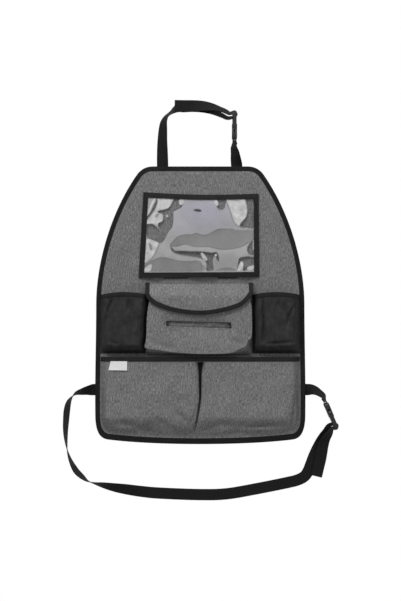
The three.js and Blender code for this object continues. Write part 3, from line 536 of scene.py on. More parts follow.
def panel_outline():
    """The panel's rim, right round; each curve has its control points and its share of the steps."""
    start = (PANEL_HALF_WIDTH - LOWER_CORNER_RUN, PANEL_BOTTOM + LOWER_CORNER_LIFT)
    end = (PANEL_HALF_WIDTH - 0.5, PANEL_BOTTOM + LOWER_CORNER_RISE)
    waist = (PANEL_HALF_WIDTH - WAIST_TAPER, 0)
    corner = (TOP_CORNER_HALF, PANEL_TOP - TOP_CORNER_DROP)
    top = (TOP_EDGE_HALF, PANEL_TOP)
    curves = [
        ([(0, PANEL_BOTTOM), (start[0] / 2.7, PANEL_BOTTOM), (start[0] / 1.35, start[1] - 7), start], 6),
        ([start, (start[0] + 17, start[1] + 3.5), (end[0], end[1] - 37), end], 4),
        ([end, (PANEL_HALF_WIDTH + 0.5, mix(end[1], waist[1], 0.3)),
          (waist[0], mix(end[1], waist[1], 0.7)), waist], 7),
        ([waist, (waist[0], waist[1] + SHOULDER_BULGE),
          (corner[0] + SHOULDER_LEAN, corner[1] - SHOULDER_FALL), corner], 9),
        ([corner, (corner[0] - 13.3, PANEL_TOP), top], 3),
        ([top, (0, PANEL_TOP)], 3),
    ]
    right = [p for points, times in curves for p in curve_points(points, times * OUTLINE_STEPS)]
    right.append(Vector((0, PANEL_TOP)))
    left = [Vector((-p.x, p.y)) for p in reversed(right[1:-1])]
    return right + left


OUTLINE = panel_outline()


def inset(points, distance):
    """A closed line of points moved inwards."""
    moved = []
    for i, p in enumerate(points):
        before, after = points[i - 1], points[(i + 1) % len(points)]
        arriving = (p - before).normalized()
        along = (arriving + (after - p).normalized()).normalized()
        moved.append(p + Vector((-along.y, along.x)) * (distance / along.dot(arriving)))
    return moved


def walk(points, t):
    """The point at a share t of the length of an open line of points."""
    gaps = [(b - a).length for a, b in zip(points, points[1:])]
    left = t * sum(gaps)
    for a, b, gap in zip(points, points[1:], gaps):
        if left <= gap:
            return a.lerp(b, left / gap)
        left -= gap
    return points[-1].copy()


def height_at(points, x):
    """The second value of a line of points where its first is x."""
    for a, b in zip(points, points[1:]):
        if x <= b[0]:
            return mix(a[1], b[1], unit((x - a[0]) / max(b[0] - a[0], 1e-6)))
    return points[-1][1]


def outline_curve(points, closed):
    """Points on a smooth curve through the given ones."""
    count = len(points)
    made = []
    for i in range(count if closed else count - 1):
        if closed:
            a, b, c, d = (Vector(points[(i + k) % count]) for k in (-1, 0, 1, 2))
        else:
            a, b, c, d = (Vector(points[min(max(i + k, 0), count - 1)]) for k in (-1, 0, 1, 2))
        for k in range(CURVE_STEPS):
            t = k / CURVE_STEPS
            slope, bend = c - a, 2 * a - 5 * b + 4 * c - d
            made.append(0.5 * (2 * b + slope * t + bend * t * t + (3 * b - a - 3 * c + d) * t**3))
    if not closed:
        made.append(Vector(points[-1]))
    return made


def patch_between(bottom, top, left, right):
    """A place(u, v) that fills four lines of points: bottom and top run to the right, left
    and right run upwards."""
    tables = {}

    def at(line, t):
        key = (id(line), round(t, 6))
        if key not in tables:
            tables[key] = walk(line, t)
        return tables[key]

    def place(u, v):
        sides = at(left, v).lerp(at(right, v), u)
        ends = at(bottom, u).lerp(at(top, u), v)
        square = left[0].lerp(right[0], u).lerp(left[-1].lerp(right[-1], u), v)
        return sides + ends - square

    return place


def panel_patch(distance):
    """A place(u, v) that fills the panel's outline, moved inwards by a distance."""
    ring = inset(OUTLINE, distance)
    count = len(ring)

    def nearest(corner):
        return min(range(count), key=lambda k: (ring[k] - Vector(corner)).length)

    low, high = nearest((225, -290)), nearest((150, 280))
    right = ring[low : high + 1]
    top = [ring[k % count] for k in range(high, count - high + 1)]
    top.reverse()
    bottom_half = ring[: low + 1]
    bottom = [Vector((-p.x, p.y)) for p in reversed(bottom_half[1:])] + bottom_half
    left = [Vector((-p.x, p.y)) for p in right]
    return patch_between(bottom, top, left, right)


def steps(count):
    return [k / count for k in range(count + 1)]


def stops(*runs):
    """Positions from runs of (start, end, steps), each run's first position once."""
    made = [runs[0][0]]
    for start, end, count in runs:
        made += [mix(start, end, k / count) for k in range(1, count + 1)]
    return made


# Materials


def new_material(name):
    material = bpy.data.materials.new(name)
    material.use_nodes = True
    return material, material.node_tree


def connect(tree, value, socket):
    """Links another node's output to a socket, or gives the socket a value."""
    if isinstance(value, bpy.types.NodeSocket):
        tree.links.new(value, socket)
    else:
        socket.default_value = value


def node(tree, kind, **settings):
    """A shader node with its properties and sockets set by name."""
    made = tree.nodes.new(kind)
    for key, value in settings.items():
        if hasattr(made, key) and key not in made.inputs:
            setattr(made, key, value)
    for key, value in settings.items():
        socket = made.inputs.get(key)
        if socket is not None:
            connect(tree, value, socket)
    return made


def cloth_uv(tree):
    return node(tree, "ShaderNodeUVMap", uv_map="UVMap").outputs["UV"]


def object_place(tree):
    return node(tree, "ShaderNodeTexCoord").outputs["Object"]


def stretched(tree, vector, scale):
    mapping = node(tree, "ShaderNodeMapping", Vector=vector)
    mapping.inputs["Scale"].default_value = scale
    return mapping.outputs["Vector"]


def grain(tree, vector, scale, detail, roughness):
    """Noise from 0 to 1 with its own scale along each axis, in cells to a metre."""
    place = stretched(tree, vector, scale)
    made = node(tree, "ShaderNodeTexNoise", Vector=place, Scale=1.0, Detail=detail, Roughness=roughness)
    return made.outputs["Fac"]


def maths(tree, operation, *values):
    made = node(tree, "ShaderNodeMath", operation=operation)
    for value, socket in zip(values, made.inputs):
        connect(tree, value, socket)
    return made.outputs[0]


def sine(tree, value, frequency):
    """A wave from 0 to 1 along a length in metres."""
    wave = maths(tree, "SINE", maths(tree, "MULTIPLY", value, frequency * 2 * math.pi))
    return maths(tree, "MULTIPLY_ADD", wave, 0.5, 0.5)


def parts_of(tree, vector):
    return node(tree, "ShaderNodeSeparateXYZ", Vector=vector).outputs


def ramp(tree, value, *levels):
    """Colours by value: levels are (position, grey or colour)."""
    made = node(tree, "ShaderNodeValToRGB", Fac=value)
    elements = made.color_ramp.elements
    while len(elements) < len(levels):
        elements.new(0.5)
    for element, (position, colour) in zip(elements, levels):
        element.position = position
        rgb = colour if isinstance(colour, tuple) else (colour,) * 3
        element.color = (*rgb, 1)
    return made.outputs["Color"]


def blend(tree, share, a, b, blend_type="MIX"):
    """Two colours blended; 0, 6 and 7 are the node's sockets for the share and the colours."""
    made = node(tree, "ShaderNodeMix", data_type="RGBA", blend_type=blend_type)
    for socket, value in ((0, share), (6, a), (7, b)):
        connect(tree, value, made.inputs[socket])
    return made.outputs[2]


def multiplied(tree, colour, *shades):
    for shade in shades:
        colour = blend(tree, 1.0, colour, shade, "MULTIPLY")
    return colour


def bump(tree, height, distance, strength, under=None):
    """A normal bumped by a height of that many millimetres, over an earlier bump if there is one."""
    made = node(tree, "ShaderNodeBump", Height=height, Distance=distance * MM, Strength=strength)
    if under is not None:
        tree.links.new(under, made.inputs["Normal"])
    return made.outputs["Normal"]


def grey(level):
    """The linear value of a grey that is written as a screen level from 0 to 255."""
    return ((level / 255 + 0.055) / 1.055) ** 2.4 if level > 10 else level / 255 / 12.92


def dressed(material, colour, roughness, specular, normal=None):
    """The material with its shader's colour, roughness, specular level and normal."""
    tree = material.node_tree
    inputs = tree.nodes["Principled BSDF"].inputs
    connect(tree, colour, inputs["Base Color"])
    connect(tree, roughness, inputs["Roughness"])
    connect(tree, specular, inputs["Specular IOR Level"])
    if normal is not None:
        tree.links.new(normal, inputs["Normal"])
    return material


def heather_cloth():
    """Grey melange cloth: dark and light warp streaks over a fine plain weave."""
    material, tree = new_material("heather_cloth")
    uv = cloth_uv(tree)
    streaks = grain(tree, uv, (600, 150, 1), 3.0, 0.65)
    drawn = grain(tree, uv, (560, 40, 1), 2.0, 0.5)
    fine = grain(tree, uv, (1900, 640, 1), 2.0, 0.6)
    cloud = grain(tree, uv, (22, 16, 1), 2.0, 0.5)
    colour = multiplied(
        tree,
        ramp(tree, streaks, (0.24, grey(56)), (0.42, grey(98)), (0.56, grey(118)), (0.76, grey(147))),
        ramp(tree, drawn, (0.26, 0.72), (0.5, 1.02), (0.74, 1.24)),
        ramp(tree, fine, (0.3, 0.76), (0.5, 1.0), (0.72, 1.26)),
        ramp(tree, cloud, (0.3, 0.93), (0.7, 1.06)),
    )
    u, v, _ = parts_of(tree, uv)
    weave = maths(tree, "MULTIPLY", sine(tree, u, 1250), sine(tree, v, 1250))
    threads = bump(tree, weave, 0.12, 0.5)
    return dressed(material, colour, 0.92, 0.1, bump(tree, streaks, 0.2, 0.3, threads))


def tape_cloth(name, level, rib=900):
    """Woven black tape with fine ribs across its length."""
    material, tree = new_material(name)
    uv = cloth_uv(tree)
    u, v, _ = parts_of(tree, uv)
    fuzz = grain(tree, uv, (700, 700, 1), 2.0, 0.6)
    patches = grain(tree, uv, (30, 60, 1), 2.0, 0.5)
    colour = ramp(tree, fuzz, (0.25, grey(level - 8)), (0.75, grey(level + 8)))
    colour = multiplied(tree, colour, ramp(tree, patches, (0.3, 0.82), (0.7, 1.2)))
    ribs = bump(tree, sine(tree, u, rib), 0.16, 0.7)
    return dressed(material, colour, 0.85, 0.07, bump(tree, sine(tree, v, 1600), 0.05, 0.5, ribs))


def netting():
    """Black stretch netting: dark holes in a hexagonal knit."""
    material, tree = new_material("netting")
    uv = cloth_uv(tree)
    place = stretched(tree, uv, (620, 540, 1))
    cells = node(tree, "ShaderNodeTexVoronoi", Vector=place, Scale=1.0, Randomness=0.12).outputs["Distance"]
    soft = grain(tree, uv, (60, 34, 1), 4.0, 0.65)
    knit = ramp(tree, cells, (0.16, grey(15)), (0.32, grey(40)), (0.55, grey(61)))
    colour = multiplied(tree, knit, ramp(tree, soft, (0.3, 0.66), (0.7, 1.36)))
    return dressed(material, colour, 0.85, 0.06, bump(tree, cells, 0.35, 0.6))


def webbing_cloth():
    """Black polypropylene webbing in a herringbone weave."""
    material, tree = new_material("webbing")
    uv = cloth_uv(tree)
    u, v, _ = parts_of(tree, uv)
    slant = maths(tree, "ADD", u, maths(tree, "PINGPONG", v, HERRINGBONE_TURN * MM))
    rows = sine(tree, slant, 640)
    fibres = grain(tree, uv, (500, 2600, 1), 2.0, 0.6)
    colour = ramp(tree, rows, (0.0, grey(14)), (1.0, grey(29)))
    colour = multiplied(tree, colour, ramp(tree, fibres, (0.3, 0.8), (0.7, 1.2)))
    return dressed(material, colour, 0.7, 0.09, bump(tree, rows, 0.22, 0.7))


def moulded_plastic():
    """Black acetal with a fine spark-eroded grain."""
    material, tree = new_material("moulded_plastic")
    place = object_place(tree)
    spark = grain(tree, place, (2600, 2600, 2600), 2.0, 0.5)
    wear = grain(tree, place, (120, 120, 120), 3.0, 0.6)
    colour = ramp(tree, wear, (0.3, grey(16)), (0.7, grey(27)))
    rough = maths(tree, "MULTIPLY_ADD", wear, 0.2, 0.34)
    return dressed(material, colour, rough, 0.3, bump(tree, spark, 0.05, 0.35))


def lining_cloth():
    """Plain black woven backing."""
    material, tree = new_material("lining_cloth")
    uv = cloth_uv(tree)
    u, v, _ = parts_of(tree, uv)
    weave = maths(tree, "MULTIPLY", sine(tree, u, 1000), sine(tree, v, 1000))
    slub = grain(tree, uv, (300, 60, 1), 3.0, 0.6)
    colour = ramp(tree, slub, (0.3, grey(33)), (0.7, grey(48)))
    return dressed(material, colour, 0.9, 0.25, bump(tree, weave, 0.1, 0.5))


def foam_material():
    """Pale open-cell foam."""
    material, tree = new_material("foam")
    cells = grain(tree, object_place(tree), (900, 900, 900), 2.0, 0.6)
    colour = ramp(tree, cells, (0.3, grey(196)), (0.7, grey(226)))
    return dressed(material, colour, 1.0, 0.5, bump(tree, cells, 0.3, 0.6))


def hook_tape():
    """Black touch-fastener tape with a stubble of hooks and loops."""
    material, tree = new_material("hook_tape")
    stubble = grain(tree, object_place(tree), (1400, 1400, 1400), 2.0, 0.7)
    colour = ramp(tree, stubble, (0.3, grey(14)), (0.7, grey(36)))
    return dressed(material, colour, 0.9, 0.5, bump(tree, stubble, 0.4, 0.8))


def label_cloth():
    """White woven satin ribbon."""
    material, tree = new_material("label_cloth")
    uv = cloth_uv(tree)
    _, v, _ = parts_of(tree, uv)
    fuzz = grain(tree, uv, (90, 900, 1), 2.0, 0.5)
    colour = ramp(tree, fuzz, (0.3, grey(206)), (0.7, grey(224)))
    return dressed(material, colour, 0.6, 0.2, bump(tree, sine(tree, v, 1500), 0.05, 0.4))


def clear_film():
    """Clear film: milky where it is hazed, with painted reflections for the light that its folds catch, and
    painted shade along its creases.
    """
    material, tree = new_material("clear_film")
    milk, painted_glare, painted_crease_shade, lilac = (
        node(tree, "ShaderNodeAttribute", attribute_name=layer).outputs["Fac"]
        for layer in ("milk", "painted_glare", "painted_crease_shade", "lilac")
    )
    uv = cloth_uv(tree)
    cloud = grain(tree, uv, (14, 14, 1), 3.0, 0.55)
    wisps = grain(tree, uv, (60, 60, 1), 3.0, 0.6)
    imprint = grain(tree, uv, (560, 300, 1), 2.0, 0.6)
    ripples = grain(tree, uv, (35, 35, 1), 2.0, 0.5)
    haze = ramp(tree, cloud, (0.3, grey(150)), (0.7, grey(166)))
    low_tint = (grey(153), grey(151), grey(161))
    high_tint = (grey(170), grey(168), grey(178))
    colour = blend(tree, lilac, haze, ramp(tree, cloud, (0.3, low_tint), (0.7, high_tint)))
    # Painted reflection: a light grey where the reflection patches are painted.
    painted_glare_colour = ramp(tree, wisps, (0.3, grey(166)), (0.7, grey(208)))
    colour = blend(tree, painted_glare, colour, painted_glare_colour)
    # Painted shade: a dark grey along the creases.
    colour = blend(tree, painted_crease_shade, colour, (grey(84), grey(84), grey(86), 1))
    colour = multiplied(tree, colour, ramp(tree, imprint, (0.3, 0.9), (0.7, 1.08)))
    tree.links.new(milk, tree.nodes["Principled BSDF"].inputs["Alpha"])
    return dressed(material, colour, 0.22, 0.2, bump(tree, ripples, 1.5, 0.35))


def sewing_thread(name, level):
    """Spun polyester thread."""
    material, tree = new_material(name)
    twist = grain(tree, object_place(tree), (2400, 2400, 2400), 1.0, 0.5)
    colour = ramp(tree, twist, (0.3, grey(level - 8)), (0.7, grey(level + 12)))
    return dressed(material, colour, 0.6, 0.15)


HEATHER = heather_cloth()
BINDING_TAPE = tape_cloth("binding_tape", 29)
BAND_TAPE = tape_cloth("band_tape", 36)
ELASTIC_TAPE = tape_cloth("elastic_tape", 35, rib=700)
NETTING = netting()
WEBBING = webbing_cloth()
PLASTIC = moulded_plastic()
LINING = lining_cloth()
FOAM = foam_material()
HOOK_TAPE = hook_tape()
LABEL = label_cloth()
FILM = clear_film()
THREAD = sewing_thread("black_thread", 38)
GREY_THREAD = sewing_thread("grey_thread", 96)


# Panel


def panel_layers():
    """The face cloth, the black lining and the foam between them."""
    spread = stops((0, 0.02, 2), (0.02, 0.98, 72), (0.98, 1, 2))
    tall = stops((0, 0.02, 2), (0.02, 0.98, 100), (0.98, 1, 2))
    patch = panel_patch(RIM_TUCK)

    def inside(u, v):
        return ease(min(u, v, 1 - u, 1 - v) / RIM_SHARE)

    def face_place(u, v):
        p = patch(u, v)
        slack = 0.15 * ripple(p.x, p.y, 60, 3) * inside(u, v) + slot_backing(p.x, p.y)
        return (p.x, mix(RIM_FRONT, PANEL_FRONT, inside(u, v)) - slack, p.y)

    def back_place(u, v):
        p = patch(1 - u, v)
        return (p.x, mix(RIM_BACK, -LINING_SINK, inside(u, v)), p.y)

    for name, place, thickness, material, slot, node_name in (
        ("panel_cloth", face_place, FACE_THICKNESS, HEATHER, "heather_cloth", "panel_face"),
        ("panel_lining_cloth", back_place, LINING_THICKNESS, LINING, "lining", "panel_lining"),
    ):
        layer = grid_piece(name, spread, tall, place)
        thicken(layer, thickness - LAYER_GAP)
        smooth(layer)
        finish_piece(layer, material, slot, [node_name])

    middle = panel_patch(BINDING_WIDTH + PADDING_INSET)

    def padding_place(u, v):
        p = middle(u, v)
        return (p.x, PADDING_FRONT, p.y)

    padding = grid_piece("panel_foam", steps(24), steps(30), padding_place)
    thicken(padding, PADDING_THICKNESS)
    apply_modifier(padding, "BEVEL", width=0.5 * MM, segments=2, limit_method="ANGLE")
    smooth(padding)
    finish_piece(padding, FOAM, "padding", ["panel_padding"])


def rounded(points, radius):
    """A closed section with its corners rounded."""
    made = []
    for i, p in enumerate(points):
        before, after = Vector(points[i - 1]), Vector(points[(i + 1) % len(points)])
        p = Vector(p)
        reach = min(radius, (before - p).length / 2.2, (after - p).length / 2.2)
        a = p + (before - p).normalized() * reach
        b = p + (after - p).normalized() * reach
        for k in range(CORNER_STEPS + 1):
            t = k / CORNER_STEPS
            made.append(tuple(a.lerp(p, t).lerp(p.lerp(b, t), t)))
    return made


def binding_share(z):
    """How much wider the binding shows on the front towards the panel's foot: partly the tape's thick roll,
    partly painted shade, the black tape also covering the shadow under the lower pockets' bottom edge.
    """
    return mix(1, BINDING_BOTTOM_WIDTH / BINDING_WIDTH, ease((PANEL_BOTTOM + 45 - z) / 35))


def panel_binding_tape():
    """The tape folded over the panel's rim all the way round, with its row of stitches."""
    frames = []
    for i, p in enumerate(OUTLINE):
        before, after = OUTLINE[i - 1], OUTLINE[(i + 1) % len(OUTLINE)]
        arriving, leaving = (p - before).normalized(), (after - p).normalized()
        along = (arriving + leaving).normalized()
        inward = Vector((-along.y, 0, along.x)) * (binding_share(p.y) / along.dot(arriving))
        frames.append((Vector((p.x, 0, p.y)), inward, Vector((0, 1, 0))))
    width, front = BINDING_WIDTH, BINDING_FRONT
    section = rounded([(width, 0), (0.0, 0), (0.0, front), (width, front), (width, RIM_FRONT),
                       (BINDING_WEB, RIM_FRONT), (BINDING_WEB, RIM_BACK), (width, RIM_BACK)],
                      BINDING_SOFTNESS)
    tape = swept_piece("panel_binding_tape", frames, section, closed=True)
    finish_piece(tape, BINDING_TAPE, "black_tape", ["panel_binding"])
    forward = Vector((0, -1, 0))
    row = [(point + inward * (width - STITCH_INSET) + Vector((0, front, 0)), forward)
           for point, inward, _ in frames]
    stitch_row("panel_binding_stitches", [*row, row[0]], THREAD)


# Window


def window_point(u, v):
    """X and Z at the shares u and v of the frame's outer edge."""
    low = Vector(WINDOW_BOTTOM_LEFT).lerp(Vector(WINDOW_BOTTOM_RIGHT), u)
    high = Vector(WINDOW_TOP_LEFT).lerp(Vector(WINDOW_TOP_RIGHT), u)
    high.y -= WINDOW_TOP_SAG * math.sin(math.pi * u)
    return low.lerp(high, v)


WINDOW_WIDTH = WINDOW_BOTTOM_RIGHT[0] - WINDOW_BOTTOM_LEFT[0]
WINDOW_HEIGHT = WINDOW_TOP_LEFT[1] - WINDOW_BOTTOM_LEFT[1]


def window_stand_off(u, v):
    """How far the film's back stands off the panel: pinched at the two fasteners."""
    x = window_point(u, v).x
    bulge = WINDOW_SLACK * (1 - (2 * u - 1) ** 6) * (1 - v**5)
    nearness = 0
    for low, high in FASTENERS.values():
        outside = max(low - x, x - high, 0)
        near = unit(1 - outside / 16) * unit(1 - (v * WINDOW_HEIGHT - FASTENER_HEIGHT) / 45)
        nearness = max(nearness, near)
    return mix(bulge, min(bulge, 2 * FASTENER_THICKNESS + TAPE_GAP), ease(nearness))


def window_surface(u, v, height):
    """A point that far in front of the film's back."""
    p = window_point(u, v)
    return Vector((p.x, PANEL_FRONT - window_stand_off(u, v) - height, p.y))


def line_distance(spots, line, closed):
    """Distance of each spot from a line of points, and whether it lies inside a closed one."""
    ends = np.roll(line, -1, axis=0) if closed else line[1:]
    starts = line if closed else line[:-1]
    best = np.full(len(spots), 1e9)
    inside = np.zeros(len(spots), bool)
    for a, b in zip(starts, ends):
        d = b - a
        t = np.clip(((spots - a) @ d) / max(d @ d, 1e-9), 0, 1)
        best = np.minimum(best, np.linalg.norm(spots - a - t[:, None] * d, axis=1))
        if closed:
            crosses = (a[1] > spots[:, 1]) != (b[1] > spots[:, 1])
            at = a[0] + (spots[:, 1] - a[1]) / np.where(d[1] == 0, 1e-9, d[1]) * d[0]
            inside ^= crosses & (spots[:, 0] < at)
    return best, inside


def paint_film(film):
    """Gives the film's vertices their milkiness, painted reflection, tint and the painted shade of its fold
    lines.
    """
    mesh = film.data
    spots = np.empty(len(mesh.vertices) * 3)
    mesh.vertices.foreach_get("co", spots)
    spots = spots.reshape(-1, 3)[:, [0, 2]] / MM
    layers = {
        "milk": np.full(len(spots), 0.9),
        "painted_glare": np.zeros(len(spots)),
        "painted_crease_shade": np.zeros(len(spots)),
        "lilac": np.exp(-(((spots[:, 0] - 8) / 75) ** 2) - ((spots[:, 1] - 205) / 48) ** 2),
    }

    def cover(outline, soft):
        curve = np.array([tuple(p) for p in outline_curve(outline, True)])
        away, inside = line_distance(spots, curve, True)
        return np.clip(0.5 + np.where(inside, away, -away) / soft, 0, 1)

    for kind, (soft, strength, levels) in PATCH_LOOKS.items():
        for outline in FILM_PATCHES[kind]:
            share = cover(outline, soft) * strength
            for name, level in levels.items():
                layers[name] += (level - layers[name]) * share
    # Painted shade: a dark line along each crease, where the film is also made opaque.
    for line in FILM_PATCHES["line"]:
        curve = np.array([tuple(p) for p in outline_curve(line, False)])
        away, _ = line_distance(spots, curve, False)
        folded = 0.6 * np.clip(1.5 - away / 0.8, 0, 1)
        layers["painted_crease_shade"] = np.maximum(layers["painted_crease_shade"], folded)
    layers["milk"] = np.maximum(layers["milk"], layers["painted_crease_shade"] * 0.9)
    for name, values in layers.items():
        layer = mesh.attributes.new(name, "FLOAT", "POINT")
        layer.data.foreach_set("value", values.astype(np.float32))


def window():
    """The film, the black tape round it, and the touch-fastener strips at its foot."""
    border = FILM_BORDER / WINDOW_WIDTH

    def film_place(u, v):
        p = window_surface(mix(border, 1 - border, u), mix(border, 1 - border, v), FILM_THICKNESS)
        loose = ease(min(u, 1 - u) / 0.1) * ease(min(v, 1 - v) / 0.12)
        p.y += loose * (0.9 * ripple(p.x, p.z, 46, 7) + 0.4 * ripple(p.x, p.z, 19, 2))
        return tuple(p)

    film = grid_piece("window_clear_film", steps(176), steps(128), film_place)
    thicken(film, FILM_THICKNESS - LAYER_GAP)
    paint_film(film)
    smooth(film)
    finish_piece(film, FILM, "clear_film", ["window_film"])

    corners_u = stops((0, 0.05, 5), (0.05, 0.95, 60), (0.95, 1, 5))
    corners_v = stops((0, 0.05, 5), (0.05, 0.95, 40), (0.95, 1, 5))
    circuit = [(u, 0) for u in corners_u[:-1]] + [(1, v) for v in corners_v[:-1]]
    circuit += [(u, 1) for u in reversed(corners_u[1:])] + [(0, v) for v in reversed(corners_v[1:])]
    inside_u = WINDOW_TAPE_WIDTH / WINDOW_WIDTH
    inside_v = WINDOW_TAPE_WIDTH / WINDOW_HEIGHT
    low = FILM_THICKNESS + WINDOW_TAPE_GAP
    high = low + WINDOW_TAPE_THICKNESS
    section = rounded([(0.0, low), (0.0, high), (0.72, high + 0.1), (0.8, high - 0.25),
                       (0.88, high + 0.1), (1.0, high - 0.1), (1.0, low)], 0.06)

    def frame_point(u, v, share, height):
        """A point on the frame; a share of 0 is its outer edge and 1 its inner edge."""
        across = mix(u, mix(inside_u, 1 - inside_u, u), share)
        up = mix(v, mix(inside_v, 1 - inside_v, v), share)
        return window_surface(across, up, height)

    def frame_place(a, b):
        return tuple(frame_point(*circuit[a % len(circuit)], *section[b % len(section)]))

    around, over = list(range(len(circuit) + 1)), list(range(len(section) + 1))
    tape = grid_piece("window_frame_tape", around, over, frame_place)
    weld(tape)
    smooth(tape)
    finish_piece(tape, BAND_TAPE, "black_tape", ["window_frame"])
    forward = Vector((0, -1, 0))
    for row, share in (("outer", 0.12), ("inner", 0.84)):
        spots = [(frame_point(u, v, share, high), forward) for u, v in [*circuit, circuit[0]]]
        stitch_row(f"window_{row}_stitches", spots, THREAD)

    bottom = window_point(0.5, 0).y - FASTENER_SHOW
    for side, (left, right) in FASTENERS.items():
        for half, level in (("hook", 0), ("loop", FASTENER_THICKNESS)):
            deselect()
            bpy.ops.mesh.primitive_cube_add(size=1)
            strip = bpy.context.object
            strip.name = f"window_{half}_tape_{side}"
            middle = Vector(((left + right) / 2, PANEL_FRONT - level - FASTENER_THICKNESS / 2,
                             bottom + FASTENER_HEIGHT / 2))
            for vertex in strip.data.vertices:
                size = Vector((right - left, FASTENER_THICKNESS - 0.04, FASTENER_HEIGHT))
                vertex.co = (middle + vertex.co * size) * MM
            apply_modifier(strip, "BEVEL", width=0.45 * MM, segments=2)
            smooth(strip)
            finish_piece(strip, HOOK_TAPE, "black_tape", [f"window_{half}_{side}"])


# Pockets sewn to the panel

SIDE_STEPS = (0, 0.06, 0.12, 0.18, 0.25, 0.33, 0.41, 0.5, 0.6, 0.7, 0.8, 0.9, 1)
BAND_LIFT = 2 * TAPE_GAP + TAPE_THICKNESS


def pocket_columns(left, right, run, middle):
    """Columns across a pocket, close together at its side seams."""
    near_left = [left + SEAM + run * t for t in SIDE_STEPS]
    near_right = [right - SEAM - run * t for t in reversed(SIDE_STEPS)]
    return [left, left + SEAM / 2, *near_left, *middle, *near_right, right - SEAM / 2, right]


def pocket_heights(bottom, top, band, fold, count):
    """Rows from the bottom seam to the top edge, close together at the fold and the tape."""
    fold = max(fold, bottom + SEAM + 2)
    tape_end = top - band
    rows = [bottom, bottom + SEAM / 2]
    rows += [mix(bottom + SEAM, fold, t) for t in SIDE_STEPS]
    rows += [mix(fold, tape_end - 3, k / count) for k in range(1, count + 1)]
    rows += [tape_end - 1.8, tape_end - 0.7, tape_end + 0.3, tape_end + 1.5]
    rows += [mix(tape_end, top, 0.5), top - TAPE_GAP - TAPE_THICKNESS]
    return rows


def pocket_cloth(name, columns, pocket, rows, thickness, relief):
    """A cloth sewn flat to the panel at its sides and bottom, standing off in between."""

    def place(x, row):
        bottom, top = pocket["bottom"](x), pocket["top"](x)
        tape_end = top - pocket["band"]
        fold = max(pocket["fold"], bottom + SEAM + 2)
        z = pocket_heights(bottom, top, pocket["band"], pocket["fold"], rows)[row]
        level = min(z, tape_end)
        side = rise((x - pocket["left"] - SEAM) / pocket["run"])
        side *= rise((pocket["right"] - SEAM - x) / pocket["run"])
        low = pocket["turn"]((level - bottom - SEAM) / (fold - bottom - SEAM))
        share = unit((level - fold) / (tape_end - fold))
        depth = mix(pocket["belly"], pocket["mouth"], share) * side * low * pocket["open"](x, level)
        lift = BAND_LIFT * unit(1 - (tape_end - level) / (2 * pocket["band"]))
        free = ease(min(depth / 8, 1)) * ease(unit((tape_end - z) / 12 + 0.1))
        depth += relief(x, z) * free
        return (x + pocket["shift"](x, z), PANEL_FRONT - thickness - max(depth, lift, 0), z)

    count = len(pocket_heights(0, 100, 9, 20, rows))
    cloth = grid_piece(name, columns, list(range(count)), place)
    thicken(cloth, thickness - CLOTH_GAP)
    smooth(cloth)
    edge = [Vector(place(x, count - 1)) for x in columns]
    return cloth, edge


def fold_section(width, cloth_thickness):
    """A tape folded over a cloth edge, in (out, normal) offsets from the edge's front."""
    fold = TAPE_GAP + TAPE_THICKNESS
    back = -cloth_thickness - fold
    end = fold - width
    return rounded([(end, fold), (end + 1.9, fold - 0.22), (end + 3, fold), (fold, fold),
                    (fold, back), (end, back), (end, back + TAPE_THICKNESS),
                    (TAPE_GAP, back + TAPE_THICKNESS), (TAPE_GAP, TAPE_GAP), (end, TAPE_GAP)], 0.7)


def level_frames(points):
    """Frames of (point, out, normal) for a tape along a pocket's top edge."""
    frames = []
    for i, point in enumerate(points):
        before, after = points[max(i - 1, 0)], points[min(i + 1, len(points) - 1)]
        arriving = (point - before).normalized() if i else (after - point).normalized()
        leaving = (after - point).normalized() if i + 1 < len(points) else arriving
        out = Vector((0, 0, 1))
        normal = (arriving + leaving).normalized().cross(out).normalized()
        frames.append((point, out, normal))
    return frames


def stitch_fold(name, frames, width):
    """The row of stitches that holds a folded tape, near its inner edge."""
    fold = TAPE_GAP + TAPE_THICKNESS
    reach = fold - width + STITCH_INSET
    row = [(point + out * reach + normal * fold, normal) for point, out, normal in frames]
    stitch_row(name, row, THREAD)


def mesh_relief(side):
    """The folds in a mesh pocket's front."""
    folds = {
        "left": (
            ((-192, 14), (-202, -14), 3.2, 7), ((-211, 4), (-201, -14), 3.2, 6),
            ((-202, -12), (-211, -66), 3.6, 7), ((-153, 16), (-159, -15), 4, 5),
            ((-196, -78), (-180, -86), 3.5, 4), ((-184, -4), (-180, -62), 9, -3.5),
            ((-140, 4), (-138, -74), 5, -4), ((-168, -99), (-132, -104), 3.5, 4),
            ((-148, -20), (-150, -70), 6, 3),
        ),
        "right": (
            ((136, 14), (139, -30), 2.8, 7), ((139, -24), (137, -80), 2.8, 7),
            ((205, 0), (194, -24), 3.4, 6), ((194, -20), (190, -44), 3.6, 5),
            ((210, -36), (211, -80), 3.2, 5), ((170, 12), (168, -8), 3.2, 4),
            ((146, -84), (200, -80), 3.4, 5), ((160, -10), (172, -64), 10, -3.5),
            ((127, 0), (128, -80), 4, -3),
        ),
    }[side]

    def relief(x, z):
        made = 2.4 * ripple(x, z, 30, 5) + 1.1 * ripple(x, z, 12, 9)
        return made - sum(crease(x, z, *fold) for fold in folds)

    return relief


